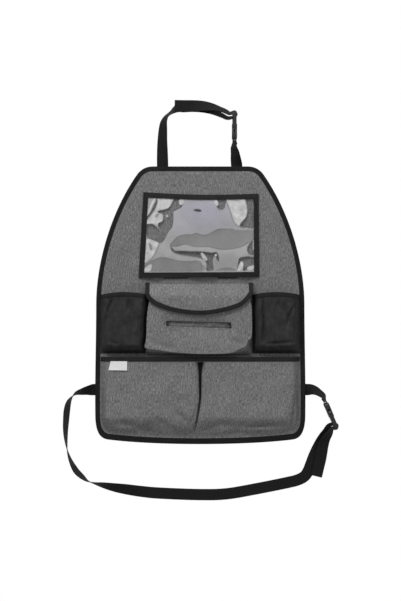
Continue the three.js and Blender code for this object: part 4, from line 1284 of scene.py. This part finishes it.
def mesh_pockets():
    """Two netting pockets with an elastic tape over their top edges."""
    for side, left, right in (
        ("left", -MESH_OUTER, TISSUE_LEFT_EDGE[3][0] + MESH_UNDER_TISSUE),
        ("right", MESH_RIGHT_SEAM, MESH_OUTER),
    ):
        middle, half = (left + right) / 2, (right - left) / 2

        def shift(x, z, s=side, r=right):
            outer = (binding_inner_side(z) - MESH_OUTER) * ease((abs(x) - MESH_OUTER + 30) / 30)
            if s == "right":
                return outer
            inner = (height_at(TISSUE_LEFT_RISE, z) + MESH_UNDER_TISSUE - r) * ease((x - r + 40) / 40)
            return inner - outer

        pocket = {
            "left": left, "right": right, "run": MESH_SIDE_RUN, "fold": MESH_FOLD,
            "band": MESH_BAND_WIDTH, "mouth": MESH_MOUTH_DEPTH, "belly": MESH_BELLY_DEPTH,
            "top": lambda x, m=middle, h=half: MESH_TOP + MESH_ARCH * (1 - ((x - m) / h) ** 2),
            "bottom": lambda x: MESH_BOTTOM,
            "open": lambda x, z: 1, "turn": rise, "shift": shift,
        }
        ends = left + SEAM + MESH_SIDE_RUN, right - SEAM - MESH_SIDE_RUN
        columns = pocket_columns(left, right, MESH_SIDE_RUN, [mix(*ends, k / 34) for k in range(1, 34)])
        cloth, edge = pocket_cloth(
            f"mesh_{side}_cloth", columns, pocket, 44, MESH_THICKNESS, mesh_relief(side)
        )
        finish_piece(cloth, NETTING, "black_mesh", [f"mesh_pocket_{side}"])
        section = fold_section(MESH_BAND_WIDTH, MESH_THICKNESS)
        band = swept_piece(f"mesh_{side}_band_tape", level_frames(edge), section, closed=False)
        finish_piece(band, ELASTIC_TAPE, "black_tape", [f"mesh_pocket_{side}_band"])
        stitch_fold(f"mesh_{side}_band_stitches", level_frames(edge), MESH_BAND_WIDTH)


# Edges that the pockets follow, the first two as X by level: the tissue pocket's left side, the
# binding's inner side beside the mesh pockets, and its inner edge along the foot
TISSUE_LEFT_RISE = [(z, x) for x, z in TISSUE_LEFT_EDGE]
BINDING_SIDE = [(p.y, p.x) for p in inset(OUTLINE, BINDING_WIDTH) if p.x > 200 and -180 < p.y < 60]
BINDING_INNER = [p for p in inset(OUTLINE, BINDING_BOTTOM_WIDTH + TAPE_GAP) if p.x >= -0.1 and p.y < 0]


def binding_inner_side(z):
    """The half width inside the binding beside the mesh pockets."""
    return height_at(BINDING_SIDE, z) - TAPE_GAP


def binding_inner_bottom(x):
    """The level of the binding's inner edge under the lower pockets at x."""
    x = abs(x)
    for a, b in zip(BINDING_INNER, BINDING_INNER[1:]):
        if a.x <= x <= b.x:
            return mix(a.y, b.y, (x - a.x) / max(b.x - a.x, 1e-6))
    return PANEL_BOTTOM + LOWER_CORNER_RISE


def pocket_relief(x, z):
    """The lower pockets' soft dents and the folds where their bellies turn under."""
    folds = (
        ((-178, -256), (-146, -261), 5.5, 7), ((-140, -268), (-104, -278), 5.5, 6),
        ((-100, -246), (-76, -266), 8, 6), ((-44, -236), (-22, -258), 7, 7),
        ((-16, -262), (-6, -240), 4, 4.0), ((16, -274), (46, -258), 5, 6),
        ((42, -258), (74, -262), 6, 7), ((86, -264), (182, -262), 4.6, 7),
        ((48, -281), (94, -280), 4.5, 4.5), ((206, -206), (204, -262), 4, 5.5),
        ((196, -236), (208, -258), 6, 5), ((146, -162), (184, -150), 12, 2.4),
        ((110, -198), (132, -222), 12, 2.4), ((-206, -160), (-196, -240), 7, 2.4),
        ((-120, -170), (-110, -235), 30, -2.4), ((110, -170), (100, -240), 30, -2.4),
        ((-60, -262), (-26, -270), 7, -4), ((24, -286), (70, -272), 5, -3.5),
        ((-196, -270), (-150, -276), 6, -4), ((90, -274), (190, -274), 6, -3.5),
    )
    made = 2.2 * ripple(x, z, 64, 4) + 1.0 * ripple(x, z, 24, 8) + 0.35 * ripple(x, z, 11, 6)
    return made - sum(crease(x, z, *fold) for fold in folds)


def lower_pockets():
    """The wide cloth, pulled in along its middle seam, with its band, a black tape of painted shade down
    its middle valley, and its label.
    """
    tape_end = POCKET_TOP - POCKET_BAND_WIDTH

    def open_share(x, z):
        apart = ease((z - tape_end + 2.6) / 2.6)
        wall = unit((abs(x) - 1) / POCKET_MIDDLE_RUN)
        floor = mix(0.6, 0.04, unit((z + 268) / 70))
        valley = mix(floor, 1, 0.7 * rise(wall / 0.2) + 0.3 * rise(wall))
        return mix(valley, 1, apart)

    def shift(x, z):
        drift = height_at(POCKET_SEAM_DRIFT, z) * (1 - ease(abs(x) / 70))
        widen = (height_at(POCKET_SEAM_GAP, z) - 1) * unit(abs(x)) * (1 - ease((abs(x) - 1) / 40))
        return drift + math.copysign(widen, x)

    pocket = {
        "left": -POCKET_HALF_WIDTH, "right": POCKET_HALF_WIDTH, "run": POCKET_SIDE_RUN,
        "fold": POCKET_FOLD, "band": POCKET_BAND_WIDTH, "mouth": POCKET_MOUTH_DEPTH,
        "belly": POCKET_BELLY_DEPTH, "top": lambda x: POCKET_TOP, "bottom": binding_inner_bottom,
        "open": open_share, "turn": lambda t: mix(rise(t), ease(t), 0.7), "shift": shift,
    }
    side = POCKET_HALF_WIDTH - SEAM - POCKET_SIDE_RUN
    half = [1 + POCKET_MIDDLE_RUN * t for t in SIDE_STEPS]
    half += [mix(1 + POCKET_MIDDLE_RUN, side, k / 56) for k in range(1, 56)]
    columns = pocket_columns(-POCKET_HALF_WIDTH, POCKET_HALF_WIDTH, POCKET_SIDE_RUN,
                             [*[-x for x in reversed(half)], 0, *half])
    cloth, edge = pocket_cloth("lower_pockets_cloth", columns, pocket, 56, CLOTH_THICKNESS, pocket_relief)
    finish_piece(cloth, HEATHER, "heather_cloth", ["lower_pocket_cloth"])
    band = swept_piece("lower_pockets_band_tape", level_frames(edge),
                       fold_section(POCKET_BAND_WIDTH, CLOTH_THICKNESS), closed=False)
    finish_piece(band, BAND_TAPE, "black_tape", ["lower_pocket_band"])
    stitch_fold("lower_band_stitches", level_frames(edge), POCKET_BAND_WIDTH)
    tape, label = valley_shade_tape(), side_label()


def valley_shade_tape():
    """A black tape down the seam between the two lower pockets: painted shade that darkens the deep valley
    where it lies in shadow.
    """
    head = POCKET_TOP - POCKET_BAND_WIDTH + 1

    def place(u, v):
        z = mix(SHADE_TAPE_FOOT, head, v)
        half = height_at(POCKET_SEAM_GAP, z) + SHADE_TAPE_TUCK
        x = height_at(POCKET_SEAM_DRIFT, z) + half * (2 * u - 1)
        return (x, PANEL_FRONT - CLOTH_THICKNESS - SHADE_TAPE_LIFT, z)

    tape = grid_piece("pocket_valley_shade_tape", steps(4), steps(40), place)
    thicken(tape, SHADE_TAPE_THICKNESS)
    smooth(tape)
    finish_piece(tape, BAND_TAPE, "black_tape", ["lower_pocket_band"])
    return tape


def lower_pocket_front(z):
    """Y of the lower pockets' front at a level."""
    tape_end = POCKET_TOP - POCKET_BAND_WIDTH
    share = unit((z - POCKET_FOLD) / (tape_end - POCKET_FOLD))
    return PANEL_FRONT - CLOTH_THICKNESS - mix(POCKET_BELLY_DEPTH, POCKET_MOUTH_DEPTH, share)


def side_label():
    """The bare woven label under the band of the left lower pocket."""
    top = POCKET_TOP - POCKET_BAND_WIDTH + 0.6

    def place(u, v):
        x = LABEL_LEFT + LABEL_WIDTH * u - LABEL_SLANT * (1 - v) * (1 - u)
        z = top - LABEL_HEIGHT * (1 - v) * (0.97 + 0.03 * u)
        curl = LABEL_CURL * (1 - v) ** 2 * (1 + 0.4 * math.sin(5 * u))
        return (x, lower_pocket_front(z) - TAPE_GAP - LABEL_THICKNESS - curl - LABEL_LIFT, z)

    label = grid_piece("woven_label", steps(24), steps(14), place)
    thicken(label, LABEL_THICKNESS - LAYER_GAP)
    smooth(label)
    finish_piece(label, LABEL, "label", ["side_label"])
    return label


# Tissue pocket


def slot_distance(x, z):
    """How far a point of the tissue pocket's front lies outside its slot."""
    (x0, low0), (x1, low1), (x2, high1), (x3, high0) = SLOT_CORNERS
    t = unit((x - x0) / (x1 - x0))
    low, high = mix(low0, low1, t), mix(high0, high1, t)
    return max(x3 - x, x - x2, low - z, z - high)


def tissue_depth(x, z):
    """How far the tissue pocket's front stands off the panel: an empty pocket sinks in at its slot."""
    (left, low), (right, high) = SLOT_CORNERS[0], SLOT_CORNERS[2]
    middle_x, middle_z = (left + right) / 2, (low + high) / 2
    across = ease((right - left + 44 - 2 * abs(x - middle_x)) / 90)
    dent = TISSUE_DENT * across * math.exp(-(((z - middle_z) / TISSUE_DENT_REACH) ** 2))
    width = TISSUE_RIGHT_EDGE[-1][0] - TISSUE_LEFT_EDGE[-1][0]
    u = unit((x - TISSUE_LEFT_EDGE[-1][0]) / width)
    v = unit((z - TISSUE_FOOT) / (TISSUE_TOP - TISSUE_FOOT))
    belly = TISSUE_BELLY * math.sin(math.pi * u) * math.sin(math.pi * v)
    return mix(TISSUE_DEPTH, TISSUE_MOUTH_DEPTH, v) + belly - dent


def slot_backing(x, z):
    """How far the panel's slack cloth comes forward behind the tissue slot."""
    left, right = SLOT_CORNERS[0][0], SLOT_CORNERS[1][0]
    middle_z = (SLOT_CORNERS[0][1] + SLOT_CORNERS[2][1]) / 2
    across = ease((right - left + 50 - 2 * abs(x - (left + right) / 2)) / 60)
    lift = SLOT_BACKING * across * math.exp(-(((z - middle_z) / SLOT_BACKING_REACH) ** 2))
    return lift * (1 + 0.25 * ripple(x, z, 14, 11))


def cut_slot(front):
    """Cuts the long slot through the tissue pocket's front."""
    deselect()
    bpy.ops.mesh.primitive_cube_add(size=2)
    cutter = bpy.context.object
    for vertex in cutter.data.vertices:
        right, upper = vertex.co.x > 0, vertex.co.z > 0
        x, z = SLOT_CORNERS[(2 if right else 3) if upper else (1 if right else 0)]
        vertex.co = Vector((x, PANEL_FRONT - TISSUE_DEPTH / 2 + 40 * vertex.co.y, z)) * MM
    weights = cutter.data.attributes.new("bevel_weight_edge", "FLOAT", "EDGE")
    for edge in cutter.data.edges:
        a, b = (cutter.data.vertices[k].co for k in edge.vertices)
        weights.data[edge.index].value = 1 if abs(a.y - b.y) > 40 * MM else 0
    apply_modifier(cutter, "BEVEL", width=SLOT_CORNER * MM, segments=4, limit_method="WEIGHT")
    apply_modifier(front, "BOOLEAN", object=cutter, operation="DIFFERENCE", solver="EXACT")
    bpy.data.objects.remove(cutter, do_unlink=True)


def tissue_pocket():
    """The front with its slot, and the strip that joins its sides and foot to the panel."""
    left = outline_curve(TISSUE_LEFT_EDGE, False)
    right = outline_curve(TISSUE_RIGHT_EDGE, False)
    low = outline_curve(TISSUE_LOW_EDGE, False)
    patch = patch_between(low, [left[-1], right[-1]], left, right)

    def front_place(u, v):
        p = patch(u, v)
        x, z = p
        inside = ease(min(u, 1 - u, v, 1 - v) / 0.06)
        relief = (0.8 * ripple(x, z, 45, 6) + 0.4 * ripple(x, z, 17, 1)) * inside
        relief -= crease(x, z, (58, -74), (98, -84), 6, 2.6) * inside
        relief -= crease(x, z, (-112, -78), (-60, -96), 6, 2.0) * inside
        turned = 1.0 * math.exp(-max(slot_distance(x, z), 0) / 2.2)
        return (x, PANEL_FRONT - CLOTH_THICKNESS - tissue_depth(x, z) - relief + turned, z)

    front = grid_piece("tissue_front_cloth", steps(120), steps(66), front_place)
    thicken(front, CLOTH_THICKNESS - CLOTH_GAP)
    cut_slot(front)
    smooth(front)
    finish_piece(front, HEATHER, "heather_cloth", ["tissue_pocket_front"])

    foot_left = [Vector((left[0].x + 3, TISSUE_FOOT + 8))] + [p + Vector((3, 0)) for p in left if p.y > -70]
    foot_right = [Vector((TISSUE_FOOT_RIGHT, TISSUE_FOOT + 4)), Vector((TISSUE_FOOT_RIGHT, -66))]
    foot_right += [p + Vector((-1, 0)) for p in right if p.y > -60]
    foot_low = [foot_left[0], Vector((TISSUE_FOOT_LEFT, TISSUE_FOOT)), Vector((0, TISSUE_FOOT - 0.6)),
                Vector((TISSUE_FOOT_RIGHT - 4, TISSUE_FOOT)), foot_right[0]]

    def round_three_sides(first, foot, last):
        """Points down the left line, along the foot and up the right line."""
        up, across = steps(TISSUE_SIDE_ROWS), steps(TISSUE_FOOT_ROWS)
        points = [walk(first, 1 - t) for t in up[:-1]] + [walk(foot, t) for t in across[:-1]]
        return points + [walk(last, t) for t in up]

    rims = round_three_sides(left, low, right)
    feet = round_three_sides(foot_left, foot_low, foot_right)

    def strip_place(i, share):
        rim, foot = rims[i], feet[i]
        before, after = rims[max(i - 1, 0)], rims[min(i + 1, len(rims) - 1)]
        along = (after - before).normalized()
        p = foot.lerp(rim, share) + Vector((-along.y, along.x)) * 1.6 * math.sin(math.pi * share) ** 2
        return (p.x, PANEL_FRONT - share * (tissue_depth(rim.x, rim.y) - 0.05), p.y)

    corners = [Vector(SLOT_CORNERS[k]) for k in (0, 1, 2, 3, 0)]
    middle = (corners[0] + corners[2]) / 2
    ring = [a.lerp(b, k / 20) for a, b in zip(corners, corners[1:]) for k in range(20)] + [corners[0]]
    spots = []
    for p in ring:
        x = p.x + math.copysign(STITCH_INSET + 1, p.x - middle.x)
        z = p.y + math.copysign(STITCH_INSET + 1, p.y - middle.y)
        front_y = PANEL_FRONT - CLOTH_THICKNESS - tissue_depth(x, z)
        spots.append((Vector((x, front_y, z)), Vector((0, -1, 0))))
    stitch_row("slot_stitches", spots, GREY_THREAD)

    strip = grid_piece("tissue_strip_cloth", list(range(len(rims))), steps(12), strip_place)
    thicken(strip, CLOTH_THICKNESS - CLOTH_GAP)
    smooth(strip)
    finish_piece(strip, HEATHER, "heather_cloth", ["tissue_pocket_strip"])


FLAP_CURVE = [tuple(p) for p in outline_curve(FLAP_EDGE, False)]


def flap_point(u, v):
    """A point of the flap: v runs from -1 in its seam over 1, where it hangs free, to 2 at its edge."""
    fold = TAPE_THICKNESS + TAPE_GAP
    x = mix(FLAP_LEFT + fold, FLAP_RIGHT - fold, u)
    end = height_at(FLAP_CURVE, x) + fold
    bent = FLAP_TOP - FLAP_RUN
    if v < 0:
        z = FLAP_TOP - SEAM * v
    elif v < 1:
        z = mix(FLAP_TOP, max(bent, end + 1), v)
    else:
        z = mix(max(bent, end + 1), end, v - 1)
    reach = tissue_depth(x, min(z, TISSUE_TOP)) + 2 * CLOTH_THICKNESS + FLAP_CLEARANCE
    reach *= rise((FLAP_TOP - z) / FLAP_RUN)
    return Vector((x, PANEL_FRONT - CLOTH_THICKNESS - BAND_LIFT - reach, z))


def tissue_flap():
    """The cloth that hangs over the tissue pocket's top, bound along its free edge."""
    rows = stops((-1, 0, 3), (0, 1, 28), (1, 2, 18))
    columns = stops((0, 0.1, 10), (0.1, 0.9, 70), (0.9, 1, 10))

    def place(u, v):
        p = flap_point(u, v)
        inside = ease(min(u, 1 - u) / 0.08) * ease(unit((2 - v) / 0.3)) * ease(unit(v / 0.3))
        p.y -= inside * (0.5 * ripple(p.x, p.z, 50, 2) + 0.25 * ripple(p.x, p.z, 20, 4))
        return tuple(p)

    flap = grid_piece("flap_cloth", columns, rows, lambda u, v: place(u, rows[-1 - rows.index(v)]))
    thicken(flap, CLOTH_THICKNESS - CLOTH_GAP)
    smooth(flap)
    finish_piece(flap, HEATHER, "heather_cloth", ["tissue_flap"])

    edge = [(1, v) for v in rows[:-1]]
    edge += [(u, 2) for u in reversed(columns)]
    edge += [(0, v) for v in reversed(rows[:-1])]
    points = [flap_point(u, v) for u, v in edge]
    frames = []
    tiny = 1e-3
    for i, (u, v) in enumerate(edge):
        du = flap_point(min(u + tiny, 1), v) - flap_point(max(u - tiny, 0), v)
        dv = flap_point(u, min(v + tiny, 2)) - flap_point(u, max(v - tiny, -1))
        normal = dv.cross(du).normalized()
        if normal.y > 0:
            normal.negate()
        before, after = points[max(i - 1, 0)], points[min(i + 1, len(points) - 1)]
        along = ((points[i] - before).normalized() + (after - points[i]).normalized()).normalized()
        frames.append((points[i], normal.cross(along).normalized(), normal))
    section = fold_section(FLAP_BINDING_WIDTH, CLOTH_THICKNESS)
    tape = swept_piece("flap_binding_tape", frames, section, closed=False)
    finish_piece(tape, BAND_TAPE, "black_tape", ["tissue_flap_binding"])
    stitch_fold("flap_binding_stitches", frames, FLAP_BINDING_WIDTH)
    seam = [flap_point(u, -0.5) + Vector((0, -0.1, 0)) for u in steps(60)]
    stitch_row("flap_seam_stitches", [(point, Vector((0, -1, 0))) for point in seam], GREY_THREAD)


# Webbing and buckles


def spline(points, t):
    """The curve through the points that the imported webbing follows, and its direction."""
    last = len(points) - 1
    i = min(int(t * last), last - 1)
    share = t * last - i
    b, c = points[i], points[i + 1]
    a = points[i - 1] if i else 2 * b - c
    d = points[i + 2] if i + 2 <= last else 2 * c - b
    first, second = (c - a) / 2, (d - b) / 2
    at = b + first * share + (-3 * b + 3 * c - 2 * first - second) * share**2
    at = at + (2 * b - 2 * c + first + second) * share**3
    slope = first + 2 * (-3 * b + 3 * c - 2 * first - second) * share
    slope = slope + 3 * (2 * b - 2 * c + first + second) * share**2
    return at, slope


def buckle_place(centre, lean, across, along):
    """A point across and along a buckle that leans from upright."""
    up = Vector((math.sin(lean), 0, math.cos(lean)))
    side = Vector((math.cos(lean), 0, -math.sin(lean)))
    return Vector(centre) + side * across + up * along


def wrap_route(centre, lean, hand):
    """Round the adjuster's bar, from the slot to the far side, flat on the bar at half way."""
    placed = []
    for k in range(7):
        a = math.pi * k / 6
        across, along = hand * WRAP_RADIUS * math.sin(a), WRAP_MIDDLE - WRAP_RADIUS * math.cos(a)
        placed.append((*buckle_place(centre, lean, across, along), 90 + hand * 5 * (k - 3)))
    return placed


def loop_route(centre, lean):
    """To the socket's bar, round it and back on itself, its two layers turning together."""
    radius = BAR_RADIUS + WEBBING_THICKNESS / 2 + 0.4
    near = WEBBING_THICKNESS / 2 + 0.15
    turns = [math.pi * k / 6 for k in range(7)]
    route = [(-near, -19, 62), (-near, -13.5, 68), (-near, -9, 74), (-radius * 0.8, -4, 86)]
    route += [(-radius * math.cos(a), radius * math.sin(a), 90) for a in turns]
    route += [(radius * 0.8, -4, 94), (near, -9, 106), (near, -13.5, 112)]
    placed = []
    for across, along, twist in route:
        turned = math.radians(90 - min(twist, 180 - twist))
        p = buckle_place(centre, lean, across * math.cos(turned), SOCKET_BAR + along)
        placed.append((p.x, p.y + across * math.sin(turned), p.z, twist))
    return placed


def strap(name, node_name, route):
    """Webbing along a route of (x, y, z, twist), its twist in degrees from lying flat."""
    points = [Vector(p[:3]) for p in route]
    twists = [Vector((p[3], 0, 0)) for p in route]
    count = (len(route) - 1) * STRAP_STEPS
    frames = []
    for k in range(count + 1):
        centre, slope = spline(points, k / count)
        along = slope.normalized()
        twist = math.radians(spline(twists, k / count)[0].x)
        across = Vector((-along.z, 0, along.x)).normalized() * math.cos(twist)
        across.y = math.sin(twist)
        across = (across - along * along.dot(across)).normalized()
        frames.append((centre, across, along.cross(across).normalized()))
    half, thick = WEBBING_WIDTH / 2, WEBBING_THICKNESS / 2
    flat, low = half - 0.35, thick * 0.4
    section = [(flat, thick), (half * 0.5, thick), (0, thick), (-half * 0.5, thick), (-flat, thick),
               (-half, low), (-half, -low), (-flat, -thick), (-half * 0.5, -thick), (0, -thick),
               (half * 0.5, -thick), (flat, -thick), (half, -low), (half, low)]
    piece = swept_piece(name, frames, section, closed=False)
    finish_piece(piece, WEBBING, "webbing", [node_name])
    return piece


# Middles of the buckles, the lower one's lean, the level where the lower strap leaves the panel,
# and the two places across where the top strap does
TOP_BUCKLE = (74.8, BUCKLE_DEPTH, 392.2)
LOWER_BUCKLE = (PANEL_HALF_WIDTH + 54.3, BUCKLE_DEPTH, -240.4)
LOWER_LEAN = math.radians(157)
STRAP_LEVEL = -185.5
TOP_STRAP_PLACES = (-83, 80)


def straps():
    """Four lengths of webbing, each along points chosen as the photo shows them."""
    left, right = TOP_STRAP_PLACES
    edge = PANEL_HALF_WIDTH
    strap("top_long_webbing", "top_strap_long", [
        (left, STRAP_BEHIND, PANEL_TOP - STRAP_SEWN, 0), (left, STRAP_BEHIND, PANEL_TOP - 8, 0),
        (left, STRAP_BEHIND, PANEL_TOP + 3, 0), (left - 0.3, -1, 331, 14), (left - 0.3, -5, 360, 30),
        (left + 1, -8, 386, 42), (left + 3, -10, 402, 55), (left + 8, -11, 413, 68), (-69, -11.5, 419, 72),
        (-61, -11.5, 424.5, 64), (-53, -11, 430, 46), (-45, -11, 434, 22), (-34, -11, 435.6, 4),
        (-16, -11, 436.4, 0), (3, -11, 435, 8), (17, -12, 430, 34), (31, -13.5, 423.4, 54),
        (48, -15, 415.6, 62), (61, BUCKLE_DEPTH, 410, 67), *wrap_route(TOP_BUCKLE, 0, 1),
        (65, BUCKLE_DEPTH - 0.2, 420.4, 112), (55, BUCKLE_DEPTH - 1.5, 425, 117),
        (43, BUCKLE_DEPTH - 2.8, 429.5, 120), (29, BUCKLE_DEPTH - 3.2, 433.4, 132),
        (9, BUCKLE_DEPTH - 2, 436.4, 152), (-15, -15, 437, 175), (-36, -16.6, 436.8, 180),
        (-56, -19.8, 436.8, 180),
    ])
    strap("top_short_webbing", "top_strap_short", [
        (right, STRAP_BEHIND, PANEL_TOP - STRAP_SEWN, 0), (right, STRAP_BEHIND, PANEL_TOP - 8, 0),
        (right, STRAP_BEHIND, PANEL_TOP + 3, 0), (right - 1, -2.5, 316, 22), (right - 2.4, -8, 326, 36),
        (right - 3.8, -12, 336, 48), *loop_route(TOP_BUCKLE, 0),
    ])
    strap("lower_long_webbing", "lower_strap_long", [
        (-edge + STRAP_SEWN, STRAP_BEHIND, STRAP_LEVEL, 0), (-edge + 8, STRAP_BEHIND, STRAP_LEVEL, 0),
        (-edge - 3, STRAP_BEHIND, STRAP_LEVEL - 0.2, 2), (-edge - 14.9, -4, -186.7, 36),
        (-edge - 28.3, -9, -189.3, 56), (-edge - 40.6, -12, -193, 74), (-edge - 51.2, -12.5, -203, 100),
        (-edge - 57.6, -12.5, -215, 118), (-edge - 61.1, -12.5, -231.5, 126),
        (-edge - 62.9, -12.5, -252.5, 124), (-edge - 64, -12.5, -274.5, 118),
        (-edge - 63.1, -12.5, -296.5, 108), (-edge - 60, -12.5, -318.5, 94),
        (-edge - 53, -12.5, -340.5, 80), (-edge - 41.1, -12.5, -362.5, 68),
        (-edge - 26.5, -12.5, -376.8, 75), (-edge - 14.5, -12.5, -385.8, 92),
        (-edge + 2, -12, -391, 107), (-edge + 18.8, -11.5, -394.6, 124),
        (-187.7, -9, -399.9, 144), (-162.1, -6, -404.3, 160),
        (-128.5, -4, -409.3, 172), (-88.7, -3, -413, 180),
        (-2.9, -2.5, -416.3, 180), (57.6, -2.5, -414.6, 180),
        (124.7, -2.5, -403.2, 180),
        (edge - 39, -3, -389.5, 180), (edge - 16.5, -3, -383.6, 180), (edge - 2, -4, -375.3, 180),
        (edge + 6, -4, -363.2, 180), (edge + 11.5, -4, -349.2, 180), (edge + 19, -4.4, -329.5, 180),
        (edge + 28.6, -6, -308.5, 170), (edge + 36.8, -9, -289.8, 147), (edge + 43.9, -13, -276, 130),
        (edge + 51, BUCKLE_DEPTH, -263.2, 117), *wrap_route(LOWER_BUCKLE, LOWER_LEAN, -1),
        (edge + 56.8, BUCKLE_DEPTH - 0.3, -270, 66), (edge + 50.5, BUCKLE_DEPTH + 1.5, -281.5, 48),
        (edge + 42.8, -11.6, -294.4, 33), (edge + 37.5, -9.8, -309.6, 12), (edge + 32.7, -8.4, -336, 0),
        (edge + 27.5, -8, -358, 0), (edge + 23.3, -8, -375.7, 0),
    ])
    strap("lower_short_webbing", "lower_strap_short", [
        (edge - STRAP_SEWN, STRAP_BEHIND, STRAP_LEVEL, 0), (edge - 8, STRAP_BEHIND, STRAP_LEVEL, 0),
        (edge + 2, STRAP_BEHIND, STRAP_LEVEL, 0), (edge + 14.2, -6.5, -186, 32),
        (edge + 25.5, -12.4, -190, 52),
        *loop_route(LOWER_BUCKLE, LOWER_LEAN),
    ])
    for name in ("top_buckle_socket", "top_buckle_plug", "lower_buckle_socket", "lower_buckle_plug"):
        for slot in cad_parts[name].material_slots:
            slot.material = PLASTIC


# Room and light, in metres

FLOOR_WIDTH = 1.5
FLOOR_DEPTH = 0.9
FLOOR_LEVEL = -0.95


def room():
    """The pale floor, three soft lamps and an even studio light."""
    deselect()
    bpy.ops.mesh.primitive_plane_add(size=1)
    floor = bpy.context.object
    floor.name = "floor"
    for vertex in floor.data.vertices:
        vertex.co = (vertex.co.x * FLOOR_WIDTH, vertex.co.y * FLOOR_DEPTH, FLOOR_LEVEL)
    material, tree = new_material("pale_floor")
    mottle = grain(tree, object_place(tree), (9, 9, 9), 2.0, 0.5)
    colour = ramp(tree, mottle, (0.3, grey(228)), (0.7, grey(234)))
    floor.data.materials.append(dressed(material, colour, 0.8, 0.5))

    for name, spot, size, power in (
        ("key_lamp", (-1.3, -2.2, 2.4), 1.2, 74),
        ("fill_lamp", (1.9, -2.6, 0.7), 2.0, 20),
        ("top_lamp", (0.1, -0.9, 2.4), 1.6, 20),
    ):
        deselect()
        bpy.ops.object.light_add(type="AREA", location=spot)
        lamp = bpy.context.object
        lamp.name = name
        lamp.data.shape = "SQUARE"
        lamp.data.size = size
        lamp.data.energy = power
        lamp.rotation_euler = (-Vector(spot)).to_track_quat("-Z", "Y").to_euler()

    world = bpy.data.worlds.new("studio")
    bpy.context.scene.world = world
    world.use_nodes = True
    tree = world.node_tree
    tree.nodes.clear()
    path = node(tree, "ShaderNodeLightPath").outputs
    seen = maths(tree, "MAXIMUM", path["Is Camera Ray"], path["Is Glossy Ray"])
    seen = maths(tree, "MAXIMUM", seen, path["Is Transmission Ray"])
    lit = node(tree, "ShaderNodeBackground", Strength=0.36)
    shown = node(tree, "ShaderNodeBackground", Strength=1.0)
    lit.inputs["Color"].default_value = (1, 1, 1, 1)
    shown.inputs["Color"].default_value = (1, 1, 1, 1)
    mixed = node(tree, "ShaderNodeMixShader")
    tree.links.new(seen, mixed.inputs[0])
    tree.links.new(lit.outputs[0], mixed.inputs[1])
    tree.links.new(shown.outputs[0], mixed.inputs[2])
    out = node(tree, "ShaderNodeOutputWorld")
    tree.links.new(mixed.outputs[0], out.inputs["Surface"])


panel_layers()
panel_binding_tape()
window()
mesh_pockets()
lower_pockets()
tissue_pocket()
tissue_flap()
straps()
room()
